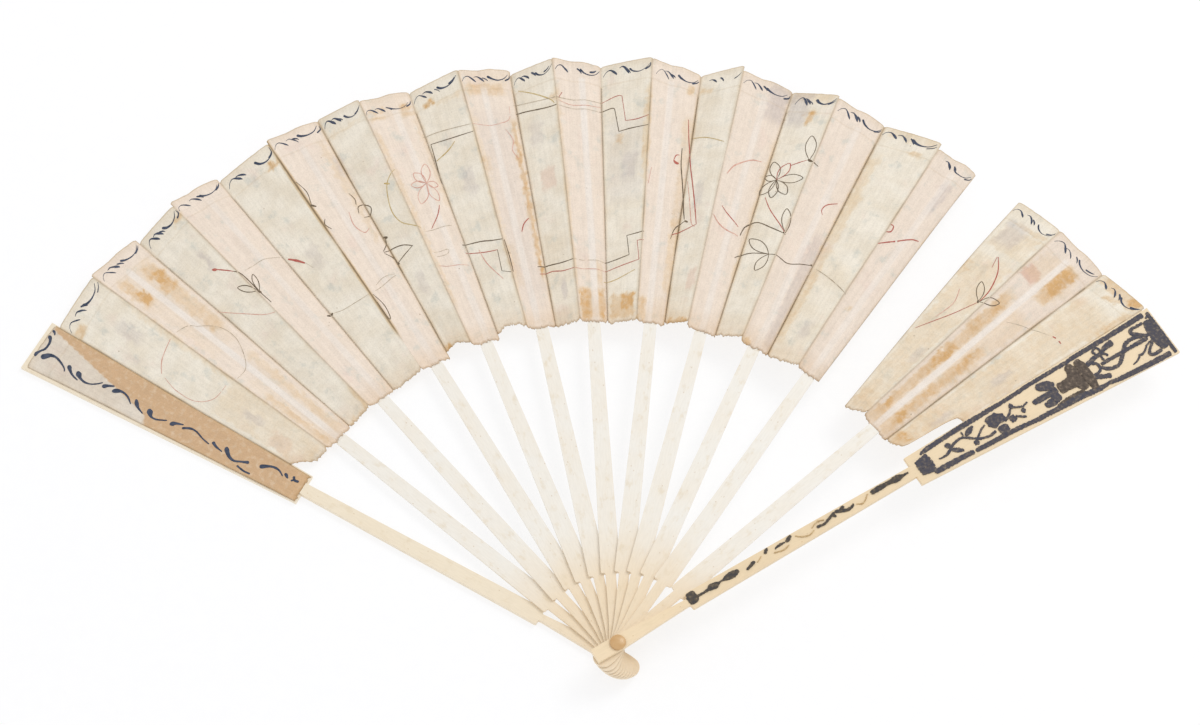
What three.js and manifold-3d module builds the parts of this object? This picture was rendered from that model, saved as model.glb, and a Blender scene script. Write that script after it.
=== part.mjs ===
// A folding fan, opened, lying on its left guard. Millimetres, +Z up, towards the painted side of the leaf.
// The origin is on the rivet's axis, in the left guard's outer face. +Y points along the middle of the opened fan.
// Thirteen sticks turn on one rivet: the left guard lies lowest, then eleven inner sticks, then the right guard.
// Each inner stick has a leaf panel pasted on its rib. A free pleat of the leaf lies between two neighbours.
import * as THREE from 'three';
import * as BufferGeometryUtils from 'three/addons/utils/BufferGeometryUtils.js';
import Module from 'manifold-3d';

// Opening, in degrees, from the left guard to the right guard. The fan was left a little uneven, and the leaf is
// split before the last inner stick, so that step is the widest.
const openSteps = [10.5, 9.6, 10.7, 9.0, 9.5, 8.6, 9.3, 8.4, 9.1, 10.2, 13.9, 10.0];
// Width of the leaf panel on each inner stick, in degrees at the rivet.
const panelAngles = [5.7, 5.3, 5.4, 4.9, 4.9, 4.6, 4.7, 4.8, 4.8, 4.6, 5.2];
const splitAfterStick = 10;

// Leaf
const leafInner = 143;
const leafOuter = 264;
const leafThickness = 0.2;
const pasteLine = 0.05;
const creaseGap = 0.3;
const leafInset = 0.8;
const tornEdgeInnerAngle = 5.8;
const tornEdgeOuterAngle = 7.5;
const tornCornerAngle = 2.3;
const tornCornerRise = 28;
const tornMiddleRise = 4;

// Inner sticks
const stickThickness = 1.0;
const stickClearance = 0.2;
const headRadius = 4.2;
const headReach = 11.4;
const neckWidth = 4.1;
const neckTop = 14;
const shoulderRadius = 32.6;
const shoulderRound = 0.8;
const shaftWidthAtShoulder = 7.9;
const shaftWaistRadius = 104;
const shaftWidthAtWaist = 5.8;
const shaftWidthAtLeaf = 5.2;
const ribThickness = 0.4;
const ribWidthAtLeaf = 5.0;
const ribWidthAtTip = 3.5;
const ribTip = 256;
const ribOverlap = 1.5;
const ribSetback = 1.0;

// Guards
const guardThickness = 2.4;
const guardBladeStep = 0.6;
const leftGuardReach = 8.8;
const rightGuardReach = 10.6;
const guardHeadWidth = 6.0;
const guardNeckWidth = 2.8;
const guardShoulder = 33.5;
const guardWidthAtShoulder = 7.1;
const guardWidthAtBlade = 5.0;
const bladeLead = 1.5;
const bladeOverlap = 0.8;
const guardTip = 267;
const bladeWidthAtStart = 13.2;
const bladeWidthAtTip = 23.2;
// The right guard has warped, so that its tip stands outwards from the shaft's middle line.
const rightBladeLean = 1.2;
// Half the angle of the leaf's end on a guard, from the guard's middle to the crease.
const leafEndAngle = 2.4;

// Rivet
const rivetRadius = 1.5;
const boreClearance = 0.15;
const washerRadius = 3.2;
const washerRim = 0.4;
const washerDome = 0.9;

// Mesh steps for round shapes
const headSteps = 10;
const leafSteps = 4;
const pinSides = 24;
const domeSteps = 6;

const bladeStart = leafInner - bladeLead;
const stackPitch = stickThickness + stickClearance;
const firstStickLevel = guardThickness + stickClearance;
const stickCount = panelAngles.length;
const stickLevel = (index) => firstStickLevel + (index - 1) * stackPitch;
const rightGuardLevel = stickLevel(stickCount + 1);
const stackTop = rightGuardLevel + guardThickness;
const boreRadius = rivetRadius + boreClearance;
const creaseGapAngle = THREE.MathUtils.radToDeg(creaseGap / leafInner);
const openAngle = openSteps.reduce((sum, step) => sum + step, 0);

const bone = { color: '#ece6d6', roughness: 0.45, metalness: 0 };
const leaf = { color: '#e6dccb', roughness: 0.85, metalness: 0 };
const horn = { color: '#c59c6d', roughness: 0.3, metalness: 0 };
const metal = { color: '#a98f5a', roughness: 0.4, metalness: 1 };

const wasm = await Module();
wasm.setup();

function toSolid(geometry) {
  geometry.deleteAttribute('normal');
  geometry.deleteAttribute('uv');
  const merged = BufferGeometryUtils.mergeVertices(geometry, 1e-5);
  const vertProperties = new Float32Array(merged.attributes.position.array);
  const triVerts = new Uint32Array(merged.index.array);
  return new wasm.Manifold(new wasm.Mesh({ numProp: 3, vertProperties, triVerts }));
}

function toGeometry(solid) {
  const mesh = solid.getMesh();
  const geometry = new THREE.BufferGeometry();
  geometry.setAttribute('position', new THREE.BufferAttribute(new Float32Array(mesh.vertProperties), 3));
  geometry.setIndex(new THREE.BufferAttribute(new Uint32Array(mesh.triVerts), 1));
  geometry.computeVertexNormals();
  return geometry;
}

function join(first, second) {
  return toGeometry(toSolid(first).add(toSolid(second)));
}

function plate(shape, thickness, level, curveSegments) {
  const geometry = new THREE.ExtrudeGeometry(shape, { depth: thickness, bevelEnabled: false, curveSegments });
  return geometry.translate(0, 0, level);
}

function part(name, geometry, finish) {
  const mesh = new THREE.Mesh(geometry, new THREE.MeshStandardMaterial(finish));
  mesh.name = name;
  return mesh;
}

const numbered = (name, index) => `${name}_${String(index).padStart(2, '0')}`;

// A point of the leaf, from its radius and its angle to the left of the stick that it is drawn on.
function leafPoint(radius, angle) {
  const turn = THREE.MathUtils.degToRad(angle);
  return new THREE.Vector2(-radius * Math.sin(turn), radius * Math.cos(turn));
}

function leafArc(shape, radius, from, to) {
  const start = THREE.MathUtils.degToRad(90 + from);
  const end = THREE.MathUtils.degToRad(90 + to);
  shape.absarc(0, 0, radius, start, end, to < from);
}

function leafWedge(right, left) {
  const shape = new THREE.Shape();
  leafArc(shape, leafOuter, right, left);
  leafArc(shape, leafInner, left, right);
  return shape;
}

function bore(shape) {
  const hole = new THREE.Path();
  hole.absarc(0, 0, boreRadius, 0, 2 * Math.PI, true);
  shape.holes.push(hole);
}

// Half of a stick's outline is given from the head up, and the other half mirrors it.
function roundedShoulder(shape, side, neckHalf, shaftHalf, radius) {
  const round = shoulderRound;
  if (side > 0) {
    shape.lineTo(neckHalf, radius - round);
    shape.quadraticCurveTo(neckHalf, radius, neckHalf + round, radius);
    shape.lineTo(shaftHalf - round, radius);
    shape.quadraticCurveTo(shaftHalf, radius, shaftHalf, radius + round);
  } else {
    shape.lineTo(-shaftHalf, radius + round);
    shape.quadraticCurveTo(-shaftHalf, radius, -shaftHalf + round, radius);
    shape.lineTo(-neckHalf - round, radius);
    shape.quadraticCurveTo(-neckHalf, radius, -neckHalf, radius - round);
  }
}

function stickShape() {
  const shape = new THREE.Shape();
  const headCentre = headRadius - headReach;
  const neckHalf = neckWidth / 2;
  const shaftHalf = shaftWidthAtShoulder / 2;
  const waistHalf = shaftWidthAtWaist / 2;
  const shaftEnd = leafInner - ribSetback;
  shape.absarc(0, headCentre, headRadius, Math.PI, 2 * Math.PI, false);
  shape.bezierCurveTo(headRadius, 0, neckHalf, 0, neckHalf, neckTop);
  roundedShoulder(shape, 1, neckHalf, shaftHalf, shoulderRadius);
  shape.lineTo(waistHalf, shaftWaistRadius);
  shape.lineTo(shaftWidthAtLeaf / 2, shaftEnd);
  shape.lineTo(-shaftWidthAtLeaf / 2, shaftEnd);
  shape.lineTo(-waistHalf, shaftWaistRadius);
  roundedShoulder(shape, -1, neckHalf, shaftHalf, shoulderRadius);
  shape.lineTo(-neckHalf, neckTop);
  shape.bezierCurveTo(-neckHalf, 0, -headRadius, 0, -headRadius, headCentre);
  bore(shape);
  return shape;
}

function ribShape() {
  const shape = new THREE.Shape();
  const start = leafInner - ribSetback - ribOverlap;
  const tipHalf = ribWidthAtTip / 2;
  shape.moveTo(-ribWidthAtLeaf / 2, start);
  shape.lineTo(ribWidthAtLeaf / 2, start);
  shape.lineTo(tipHalf, ribTip - tipHalf);
  shape.absarc(0, ribTip - tipHalf, tipHalf, 0, Math.PI, false);
  return shape;
}

function guardShaftShape(headReach) {
  const shape = new THREE.Shape();
  const headHalf = guardHeadWidth / 2;
  const neckHalf = guardNeckWidth / 2;
  const shaftHalf = guardWidthAtShoulder / 2;
  const endHalf = guardWidthAtBlade / 2;
  shape.moveTo(-headHalf, -headReach);
  shape.lineTo(headHalf, -headReach);
  shape.lineTo(headHalf, 0);
  roundedShoulder(shape, 1, neckHalf, shaftHalf, guardShoulder);
  shape.lineTo(endHalf, bladeStart + bladeOverlap);
  shape.lineTo(-endHalf, bladeStart + bladeOverlap);
  roundedShoulder(shape, -1, neckHalf, shaftHalf, guardShoulder);
  shape.lineTo(-headHalf, 0);
  bore(shape);
  return shape;
}

function bladeShape(lean) {
  const shape = new THREE.Shape();
  shape.moveTo(-bladeWidthAtStart / 2, bladeStart);
  shape.lineTo(bladeWidthAtStart / 2, bladeStart);
  shape.lineTo(lean + bladeWidthAtTip / 2, guardTip);
  shape.lineTo(lean - bladeWidthAtTip / 2, guardTip);
  return shape;
}

function innerStick(level) {
  const body = plate(stickShape(), stickThickness, level, headSteps);
  const rib = plate(ribShape(), ribThickness, level, headSteps);
  return join(body, rib);
}

// The blade is thinner than the shaft on the side that faces the leaf, to leave room for it.
function guard(level, bladeLevel, headReach, lean) {
  const shaft = plate(guardShaftShape(headReach), guardThickness, level, headSteps);
  const blade = plate(bladeShape(lean), guardThickness - guardBladeStep, bladeLevel, headSteps);
  return join(shaft, blade);
}

function leafSheet(shape, bottom) {
  return plate(shape, leafThickness, bottom, leafSteps);
}

// The leaf's end on a guard stands back from the guard's outer edge.
function leafEnd(creaseSide) {
  const inset = THREE.MathUtils.radToDeg(leafInset / leafInner);
  const crease = leafEndAngle;
  const back = leafEndAngle - inset;
  return creaseSide === 'right' ? leafWedge(-crease, back) : leafWedge(-back, crease);
}

// The torn pleat hangs on the left crease of the last inner stick. Its far edge is the split.
function tornPleat(crease) {
  const shape = new THREE.Shape();
  const innerEdge = leafPoint(leafInner, tornEdgeInnerAngle);
  leafArc(shape, leafOuter, crease + creaseGapAngle, tornEdgeOuterAngle);
  shape.lineTo(innerEdge.x, innerEdge.y);
  leafArc(shape, leafInner, tornEdgeInnerAngle, crease + creaseGapAngle);
  return shape;
}

// The last pleat has lost the lower corner next to the right guard.
function lastPleat(right, left) {
  const shape = new THREE.Shape();
  const corner = leafPoint(leafInner + tornCornerRise, right);
  const middle = leafPoint(leafInner + tornMiddleRise, right + tornCornerAngle);
  const inner = leafPoint(leafInner, left);
  leafArc(shape, leafOuter, right, left);
  shape.lineTo(inner.x, inner.y);
  shape.lineTo(middle.x, middle.y);
  shape.lineTo(corner.x, corner.y);
  return shape;
}

function rivetPin() {
  const length = stackTop + stickClearance;
  const pin = new THREE.CylinderGeometry(rivetRadius, rivetRadius, length, pinSides);
  return pin.rotateX(Math.PI / 2).translate(0, 0, length / 2);
}

function rivetWasher() {
  const profile = [new THREE.Vector2(0, 0), new THREE.Vector2(washerRadius, 0)];
  for (let step = 0; step < domeSteps; step += 1) {
    const turn = (step / domeSteps) * (Math.PI / 2);
    profile.push(new THREE.Vector2(washerRadius * Math.cos(turn), washerRim + washerDome * Math.sin(turn)));
  }
  profile.push(new THREE.Vector2(0, washerRim + washerDome));
  const washer = new THREE.LatheGeometry(profile, pinSides);
  return washer.rotateX(Math.PI / 2).translate(0, 0, stackTop + stickClearance);
}

// Angle to the left of one stick at which the next leaf panel to its right, or the right guard, begins.
function nextPanelEdge(index) {
  const nextHalf = index < stickCount ? panelAngles[index] / 2 : leafEndAngle;
  return nextHalf - openSteps[index];
}

const fan = new THREE.Group();

function stickGroup(angle) {
  const group = new THREE.Group();
  group.rotation.z = THREE.MathUtils.degToRad(angle - 90);
  fan.add(group);
  return group;
}

function addLeftGuard(angle) {
  const group = stickGroup(angle);
  const leafLevel = guardThickness - guardBladeStep + pasteLine;
  const pleat = leafWedge(nextPanelEdge(0) + creaseGapAngle, -leafEndAngle - creaseGapAngle);
  group.add(part('guard_left', guard(0, 0, leftGuardReach, 0), bone));
  group.add(part('leaf_end_left', leafSheet(leafEnd('right'), leafLevel), leaf));
  group.add(part(numbered('leaf_pleat', 0), leafSheet(pleat, leafLevel), leaf));
}

function addInnerStick(index, angle) {
  const group = stickGroup(angle);
  const level = stickLevel(index);
  const leafLevel = level + ribThickness + pasteLine;
  const half = panelAngles[index - 1] / 2;
  const right = nextPanelEdge(index) + creaseGapAngle;
  const left = -half - creaseGapAngle;
  group.add(part(numbered('stick', index), innerStick(level), bone));
  group.add(part(numbered('leaf_panel', index), leafSheet(leafWedge(-half, half), leafLevel), leaf));
  if (index < splitAfterStick) {
    group.add(part(numbered('leaf_pleat', index), leafSheet(leafWedge(right, left), leafLevel), leaf));
  }
  if (index === stickCount) {
    group.add(part('leaf_pleat_torn', leafSheet(tornPleat(half), leafLevel), leaf));
    group.add(part(numbered('leaf_pleat', index), leafSheet(lastPleat(right, left), leafLevel), leaf));
  }
}

function addRightGuard(angle) {
  const group = stickGroup(angle);
  const bladeLevel = rightGuardLevel + guardBladeStep;
  const leafLevel = bladeLevel - pasteLine - leafThickness;
  group.add(part('guard_right', guard(rightGuardLevel, bladeLevel, rightGuardReach, rightBladeLean), bone));
  group.add(part('leaf_end_right', leafSheet(leafEnd('left'), leafLevel), leaf));
}

let angle = 90 + openAngle / 2;
addLeftGuard(angle);
for (let index = 1; index <= stickCount; index += 1) {
  angle -= openSteps[index - 1];
  addInnerStick(index, angle);
}
addRightGuard(angle - openSteps[stickCount]);
fan.add(part('rivet_pin', rivetPin(), metal));
fan.add(part('rivet_washer', rivetWasher(), horn));

export default fan;
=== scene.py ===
# A folding fan, opened and lying on its left guard: bone sticks on one rivet, and a painted vellum leaf
# that zigzags over them and is split along one fold. Everything is in metres in the frame of the CAD model.
import math

import bmesh
import bpy
from bpy.props import FloatProperty, FloatVectorProperty, PointerProperty
from mathutils import Matrix, Vector, noise


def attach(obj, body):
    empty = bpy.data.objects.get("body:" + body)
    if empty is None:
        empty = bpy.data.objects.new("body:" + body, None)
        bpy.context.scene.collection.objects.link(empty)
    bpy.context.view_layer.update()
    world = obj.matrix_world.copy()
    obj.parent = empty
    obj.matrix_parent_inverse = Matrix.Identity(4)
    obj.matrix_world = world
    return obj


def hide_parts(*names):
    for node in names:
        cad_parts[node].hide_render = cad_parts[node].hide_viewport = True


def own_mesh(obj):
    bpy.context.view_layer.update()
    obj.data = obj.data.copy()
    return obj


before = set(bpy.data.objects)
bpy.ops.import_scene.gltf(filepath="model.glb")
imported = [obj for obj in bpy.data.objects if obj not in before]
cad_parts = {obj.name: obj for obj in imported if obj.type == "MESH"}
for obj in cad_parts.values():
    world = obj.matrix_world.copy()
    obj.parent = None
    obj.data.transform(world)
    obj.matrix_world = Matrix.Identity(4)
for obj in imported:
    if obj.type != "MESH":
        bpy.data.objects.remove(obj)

bl_info = {
    "name": "Folding fan",
    "version": (1, 0, 0),
    "blender": (4, 5, 0),
    "location": "3D View > Sidebar > Fan",
    "description": "Dresses the packed model of a folding fan: sticks, guards, rivet, painted leaf and a small studio",
    "category": "Object",
}

MM = 0.001

# The opened fan, as the CAD model has it. Angles in degrees, sizes in millimetres.
OPEN_STEPS = [10.5, 9.6, 10.7, 9.0, 9.5, 8.6, 9.3, 8.4, 9.1, 10.2, 13.9, 10.0]
PANEL_ANGLES = [5.7, 5.3, 5.4, 4.9, 4.9, 4.6, 4.7, 4.8, 4.8, 4.6, 5.2]
STICK_COUNT = len(PANEL_ANGLES)
SPLIT_AFTER = 10
LEAF_END_ANGLE = 2.4
LEAF_INNER = 143.0
LEAF_OUTER = 264.0
GUARD_THICKNESS = 2.4
BLADE_THICKNESS = 1.8
FIRST_STICK_LEVEL = 2.6
STICK_PITCH = 1.2
RIB_TOP = 0.4
LEAF_REST = 0.05
GUARD_TOP = FIRST_STICK_LEVEL + STICK_PITCH * STICK_COUNT + GUARD_THICKNESS


def linear(hex_colour):
    """Turns an sRGB hex colour to linear RGBA."""
    channels = [int(hex_colour[i:i + 2], 16) / 255 for i in (0, 2, 4)]
    return [c / 12.92 if c <= 0.04045 else ((c + 0.055) / 1.055) ** 2.4 for c in channels] + [1.0]


def stick_angle(index):
    """Angle of a stick's middle line in degrees, 0 for the left guard."""
    return 90 + sum(OPEN_STEPS) / 2 - sum(OPEN_STEPS[:index])


def stick_level(index):
    return FIRST_STICK_LEVEL + STICK_PITCH * (index - 1)


def leaf_level(index):
    """Height of the painted face of the leaf where it is pasted on a stick's rib."""
    return stick_level(index) + RIB_TOP + LEAF_REST + 0.2


def colour_property(name, description, hex_colour):
    return FloatVectorProperty(
        name=name, description=description, default=linear(hex_colour)[:3], subtype="COLOR", size=3, min=0, max=1
    )


def size_property(name, description, millimetres):
    return FloatProperty(
        name=name, description=description, default=millimetres * MM, unit="LENGTH", subtype="DISTANCE", min=0
    )


class FanSizes(bpy.types.PropertyGroup):
    """Sizes that a user would change."""

    fold_depth: size_property("Fold depth", "Height of a mountain fold over the rib's plane at the rim", 3.86)
    leaf_thickness: size_property("Leaf thickness", "Thickness of the vellum", 0.22)
    binding_width: size_property("Binding width", "Width of the paper strip along the rim", 9.5)
    edge_softness: size_property("Edge softness", "Rounding of the bone's worn edges", 0.16)
    ink_lift: size_property("Paint thickness", "How far the paint stands on the vellum", 0.05)
    ornament_height: size_property("Ornament height", "How far the ornament stands on the right guard", 0.25)


class FanColours(bpy.types.PropertyGroup):
    """Colours that a user would change."""

    vellum: colour_property("Vellum", "The leaf where it is clean", "f7efe0")
    vellum_deep: colour_property("Aged vellum", "The leaf where it has darkened", "eee3d0")
    # The backed tone is partly the leaf over a stick and partly painted light and shade: it sets the stick panels apart
    # from the pleats, which tilt the other way.
    backed_and_tilt_shade: colour_property("Backed vellum", "The leaf where it is pasted on a stick", "f2e1d2")
    glue: colour_property("Glue stain", "Ochre stain of old glue", "dbb079")
    soil: colour_property("Grey soil", "Greyish dirt and faded wash", "bcb1b1")
    slate: colour_property("Slate paint", "Dark blue-grey body colour", "323c50")
    brown_line: colour_property("Brown line", "Drawn ornament in brown", "5f5040")
    red_line: colour_property("Red line", "Drawn ornament in faded red", "b04f46")
    bone: colour_property("Bone", "Polished bone", "f2eee6")
    bone_deep: colour_property("Aged bone", "Bone where hands have yellowed it", "efdcbf")
    horn: colour_property("Horn", "The washer", "c4955a")


def sizes():
    return bpy.context.scene.fan_sizes


def colours():
    return bpy.context.scene.fan_colours


def add_node(tree, kind, settings=None, inputs=None, stops=None):
    """Adds a node with its settings and inputs. An input that is a socket is linked, and any other is set."""
    made = tree.nodes.new(kind)
    for key, value in (settings or {}).items():
        setattr(made, key, value)
    for key, value in (inputs or {}).items():
        if isinstance(value, bpy.types.NodeSocket):
            tree.links.new(value, made.inputs[key])
        else:
            made.inputs[key].default_value = value
    for index, (place, shade) in enumerate(stops or []):
        ramp = made.color_ramp.elements
        stop = ramp[index] if index < 2 else ramp.new(place)
        stop.position = place
        stop.color = shade
    return made


def new_material(name):
    material = bpy.data.materials.new(name)
    material.use_nodes = True
    material.node_tree.nodes.clear()
    return material, material.node_tree


def finish_surface(tree, **shader_inputs):
    """Closes a material with the shader and the output."""
    shader = add_node(tree, "ShaderNodeBsdfPrincipled", inputs=shader_inputs)
    add_node(tree, "ShaderNodeOutputMaterial", inputs={"Surface": shader.outputs[0]})


def grey(value):
    return (value, value, value, 1.0)


def rgba(colour):
    return (colour[0], colour[1], colour[2], 1.0)


def polished_bone(name, pale, deep, yellow_from, yellow_to):
    """Sawn and polished ox bone: warm white, with fine pores and dark streaks along the grain, yellower where it
    is handled near the rivet. The UV map runs across and along the stick in millimetres."""
    material, tree = new_material(name)
    uv = add_node(tree, "ShaderNodeUVMap", {"uv_map": "grain"})
    # Pores are about 0.15 mm wide and several millimetres long. They are drawn 0.5 mm wide so that they show.
    grain_place = add_node(tree, "ShaderNodeMapping", inputs={"Vector": uv.outputs[0], "Scale": (1.7, 0.22, 1.0)})
    grain = add_node(
        tree, "ShaderNodeTexNoise", inputs={"Vector": grain_place.outputs[0], "Scale": 1.0, "Detail": 3.0}
    )
    cloud = add_node(
        tree, "ShaderNodeTexNoise", inputs={"Vector": uv.outputs[0], "Scale": 0.06, "Detail": 3.0}
    )
    split = add_node(tree, "ShaderNodeSeparateXYZ", inputs={"Vector": uv.outputs[0]})
    handled = add_node(
        tree,
        "ShaderNodeMapRange",
        {"interpolation_type": "SMOOTHSTEP"},
        {"Value": split.outputs[1], "From Min": yellow_from, "From Max": yellow_to, "To Min": 0.95, "To Max": 0.05},
    )
    uneven = add_node(
        tree, "ShaderNodeMath", {"operation": "MULTIPLY"}, {0: cloud.outputs[0], 1: 0.5}
    )
    handled_uneven = add_node(
        tree, "ShaderNodeMath", {"operation": "MULTIPLY_ADD", "use_clamp": True},
        {0: handled.outputs[0], 1: 0.8, 2: uneven.outputs[0]},
    )
    weak = add_node(
        tree, "ShaderNodeMapRange", inputs={"Value": handled_uneven.outputs[0], "From Min": 0.2, "From Max": 1.0}
    )
    base = add_node(
        tree, "ShaderNodeMix", {"data_type": "RGBA"}, {0: weak.outputs[0], 6: rgba(pale), 7: rgba(deep)}
    )
    streak = add_node(
        tree, "ShaderNodeValToRGB", inputs={0: grain.outputs[0]}, stops=[(0.42, grey(0.968)), (0.58, grey(1.0))]
    )
    toned = add_node(
        tree, "ShaderNodeMix", {"data_type": "RGBA", "blend_type": "MULTIPLY"},
        {0: 1.0, 6: base.outputs[2], 7: streak.outputs[0]},
    )
    # Grease and handling have clouded the bone in tan patches of 2 to 5 mm.
    clouded = lay_coats(
        tree, toned.outputs[2],
        [(patches(tree, uv.outputs[0], 17.0, 0.55, 0.32, (0.52, 0.74), (0.0, 0.42)), linear("dcc8a6"), "MIX")],
    )
    # Blood vessels cut across the bone show as short brown flecks, a few to each stick.
    fleck_place = add_node(tree, "ShaderNodeMapping", inputs={"Vector": uv.outputs[0], "Scale": (0.35, 0.22, 1.0)})
    fleck = add_node(
        tree, "ShaderNodeTexVoronoi", inputs={"Vector": fleck_place.outputs[0], "Scale": 1.0, "Randomness": 1.0}
    )
    fleck_mask = add_node(
        tree, "ShaderNodeValToRGB", inputs={0: fleck.outputs["Distance"]}, stops=[(0.035, grey(0.45)), (0.1, grey(0.0))]
    )
    speckled = add_node(
        tree, "ShaderNodeMix", {"data_type": "RGBA"},
        {0: fleck_mask.outputs[0], 6: clouded, 7: linear("b9935f")},
    )
    bump = add_node(
        tree, "ShaderNodeBump", inputs={"Height": grain.outputs[0], "Strength": 0.25, "Distance": 0.00008}
    )
    finish_surface(
        tree, **{"Base Color": speckled.outputs[2], "Roughness": 0.42, "IOR": 1.54, "Normal": bump.outputs[0]}
    )
    return material


def lay_coats(tree, colour, coats):
    """Lays coats of colour over a base. Each coat says how much of it lies where, its colour and how it blends."""
    for amount, tone, blend in coats:
        coat = add_node(
            tree, "ShaderNodeMix", {"data_type": "RGBA", "blend_type": blend}, {0: amount, 6: colour, 7: tone}
        )
        colour = coat.outputs[2]
    return colour


def patches(tree, uv, shift, stretch, scale, span, amounts):
    """Soft-edged patches of noise on a shifted and stretched UV map. The noise's span turns to the two amounts."""
    place = add_node(
        tree, "ShaderNodeMapping", inputs={"Vector": uv, "Location": (shift, 0.0, 0.0), "Scale": (1.0, stretch, 1.0)}
    )
    clouds = add_node(
        tree, "ShaderNodeTexNoise",
        inputs={"Vector": place.outputs[0], "Scale": scale, "Detail": 4.0, "Roughness": 0.6},
    )
    spread = add_node(
        tree, "ShaderNodeMapRange", {"interpolation_type": "SMOOTHSTEP"},
        {"Value": clouds.outputs[0], "From Min": span[0], "From Max": span[1], "To Min": amounts[0],
         "To Max": amounts[1]},
    )
    return spread.outputs[0]


def line_beside(tree, distance, middle, half, blur, strengths):
    """A soft line at a distance from an edge, in millimetres. Its strengths are numbers or sockets to multiply."""
    off = add_node(tree, "ShaderNodeMath", {"operation": "SUBTRACT"}, {0: distance, 1: middle})
    apart = add_node(tree, "ShaderNodeMath", {"operation": "ABSOLUTE"}, {0: off.outputs[0]})
    line = add_node(
        tree, "ShaderNodeMapRange", {"interpolation_type": "SMOOTHSTEP"},
        {"Value": apart.outputs[0], "From Min": half, "From Max": half + blur, "To Min": 1.0, "To Max": 0.0},
    )
    amount = line.outputs[0]
    for strength in strengths:
        scaled = add_node(
            tree, "ShaderNodeMath", {"operation": "MULTIPLY", "use_clamp": True}, {0: amount, 1: strength}
        )
        amount = scaled.outputs[0]
    return amount


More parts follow.
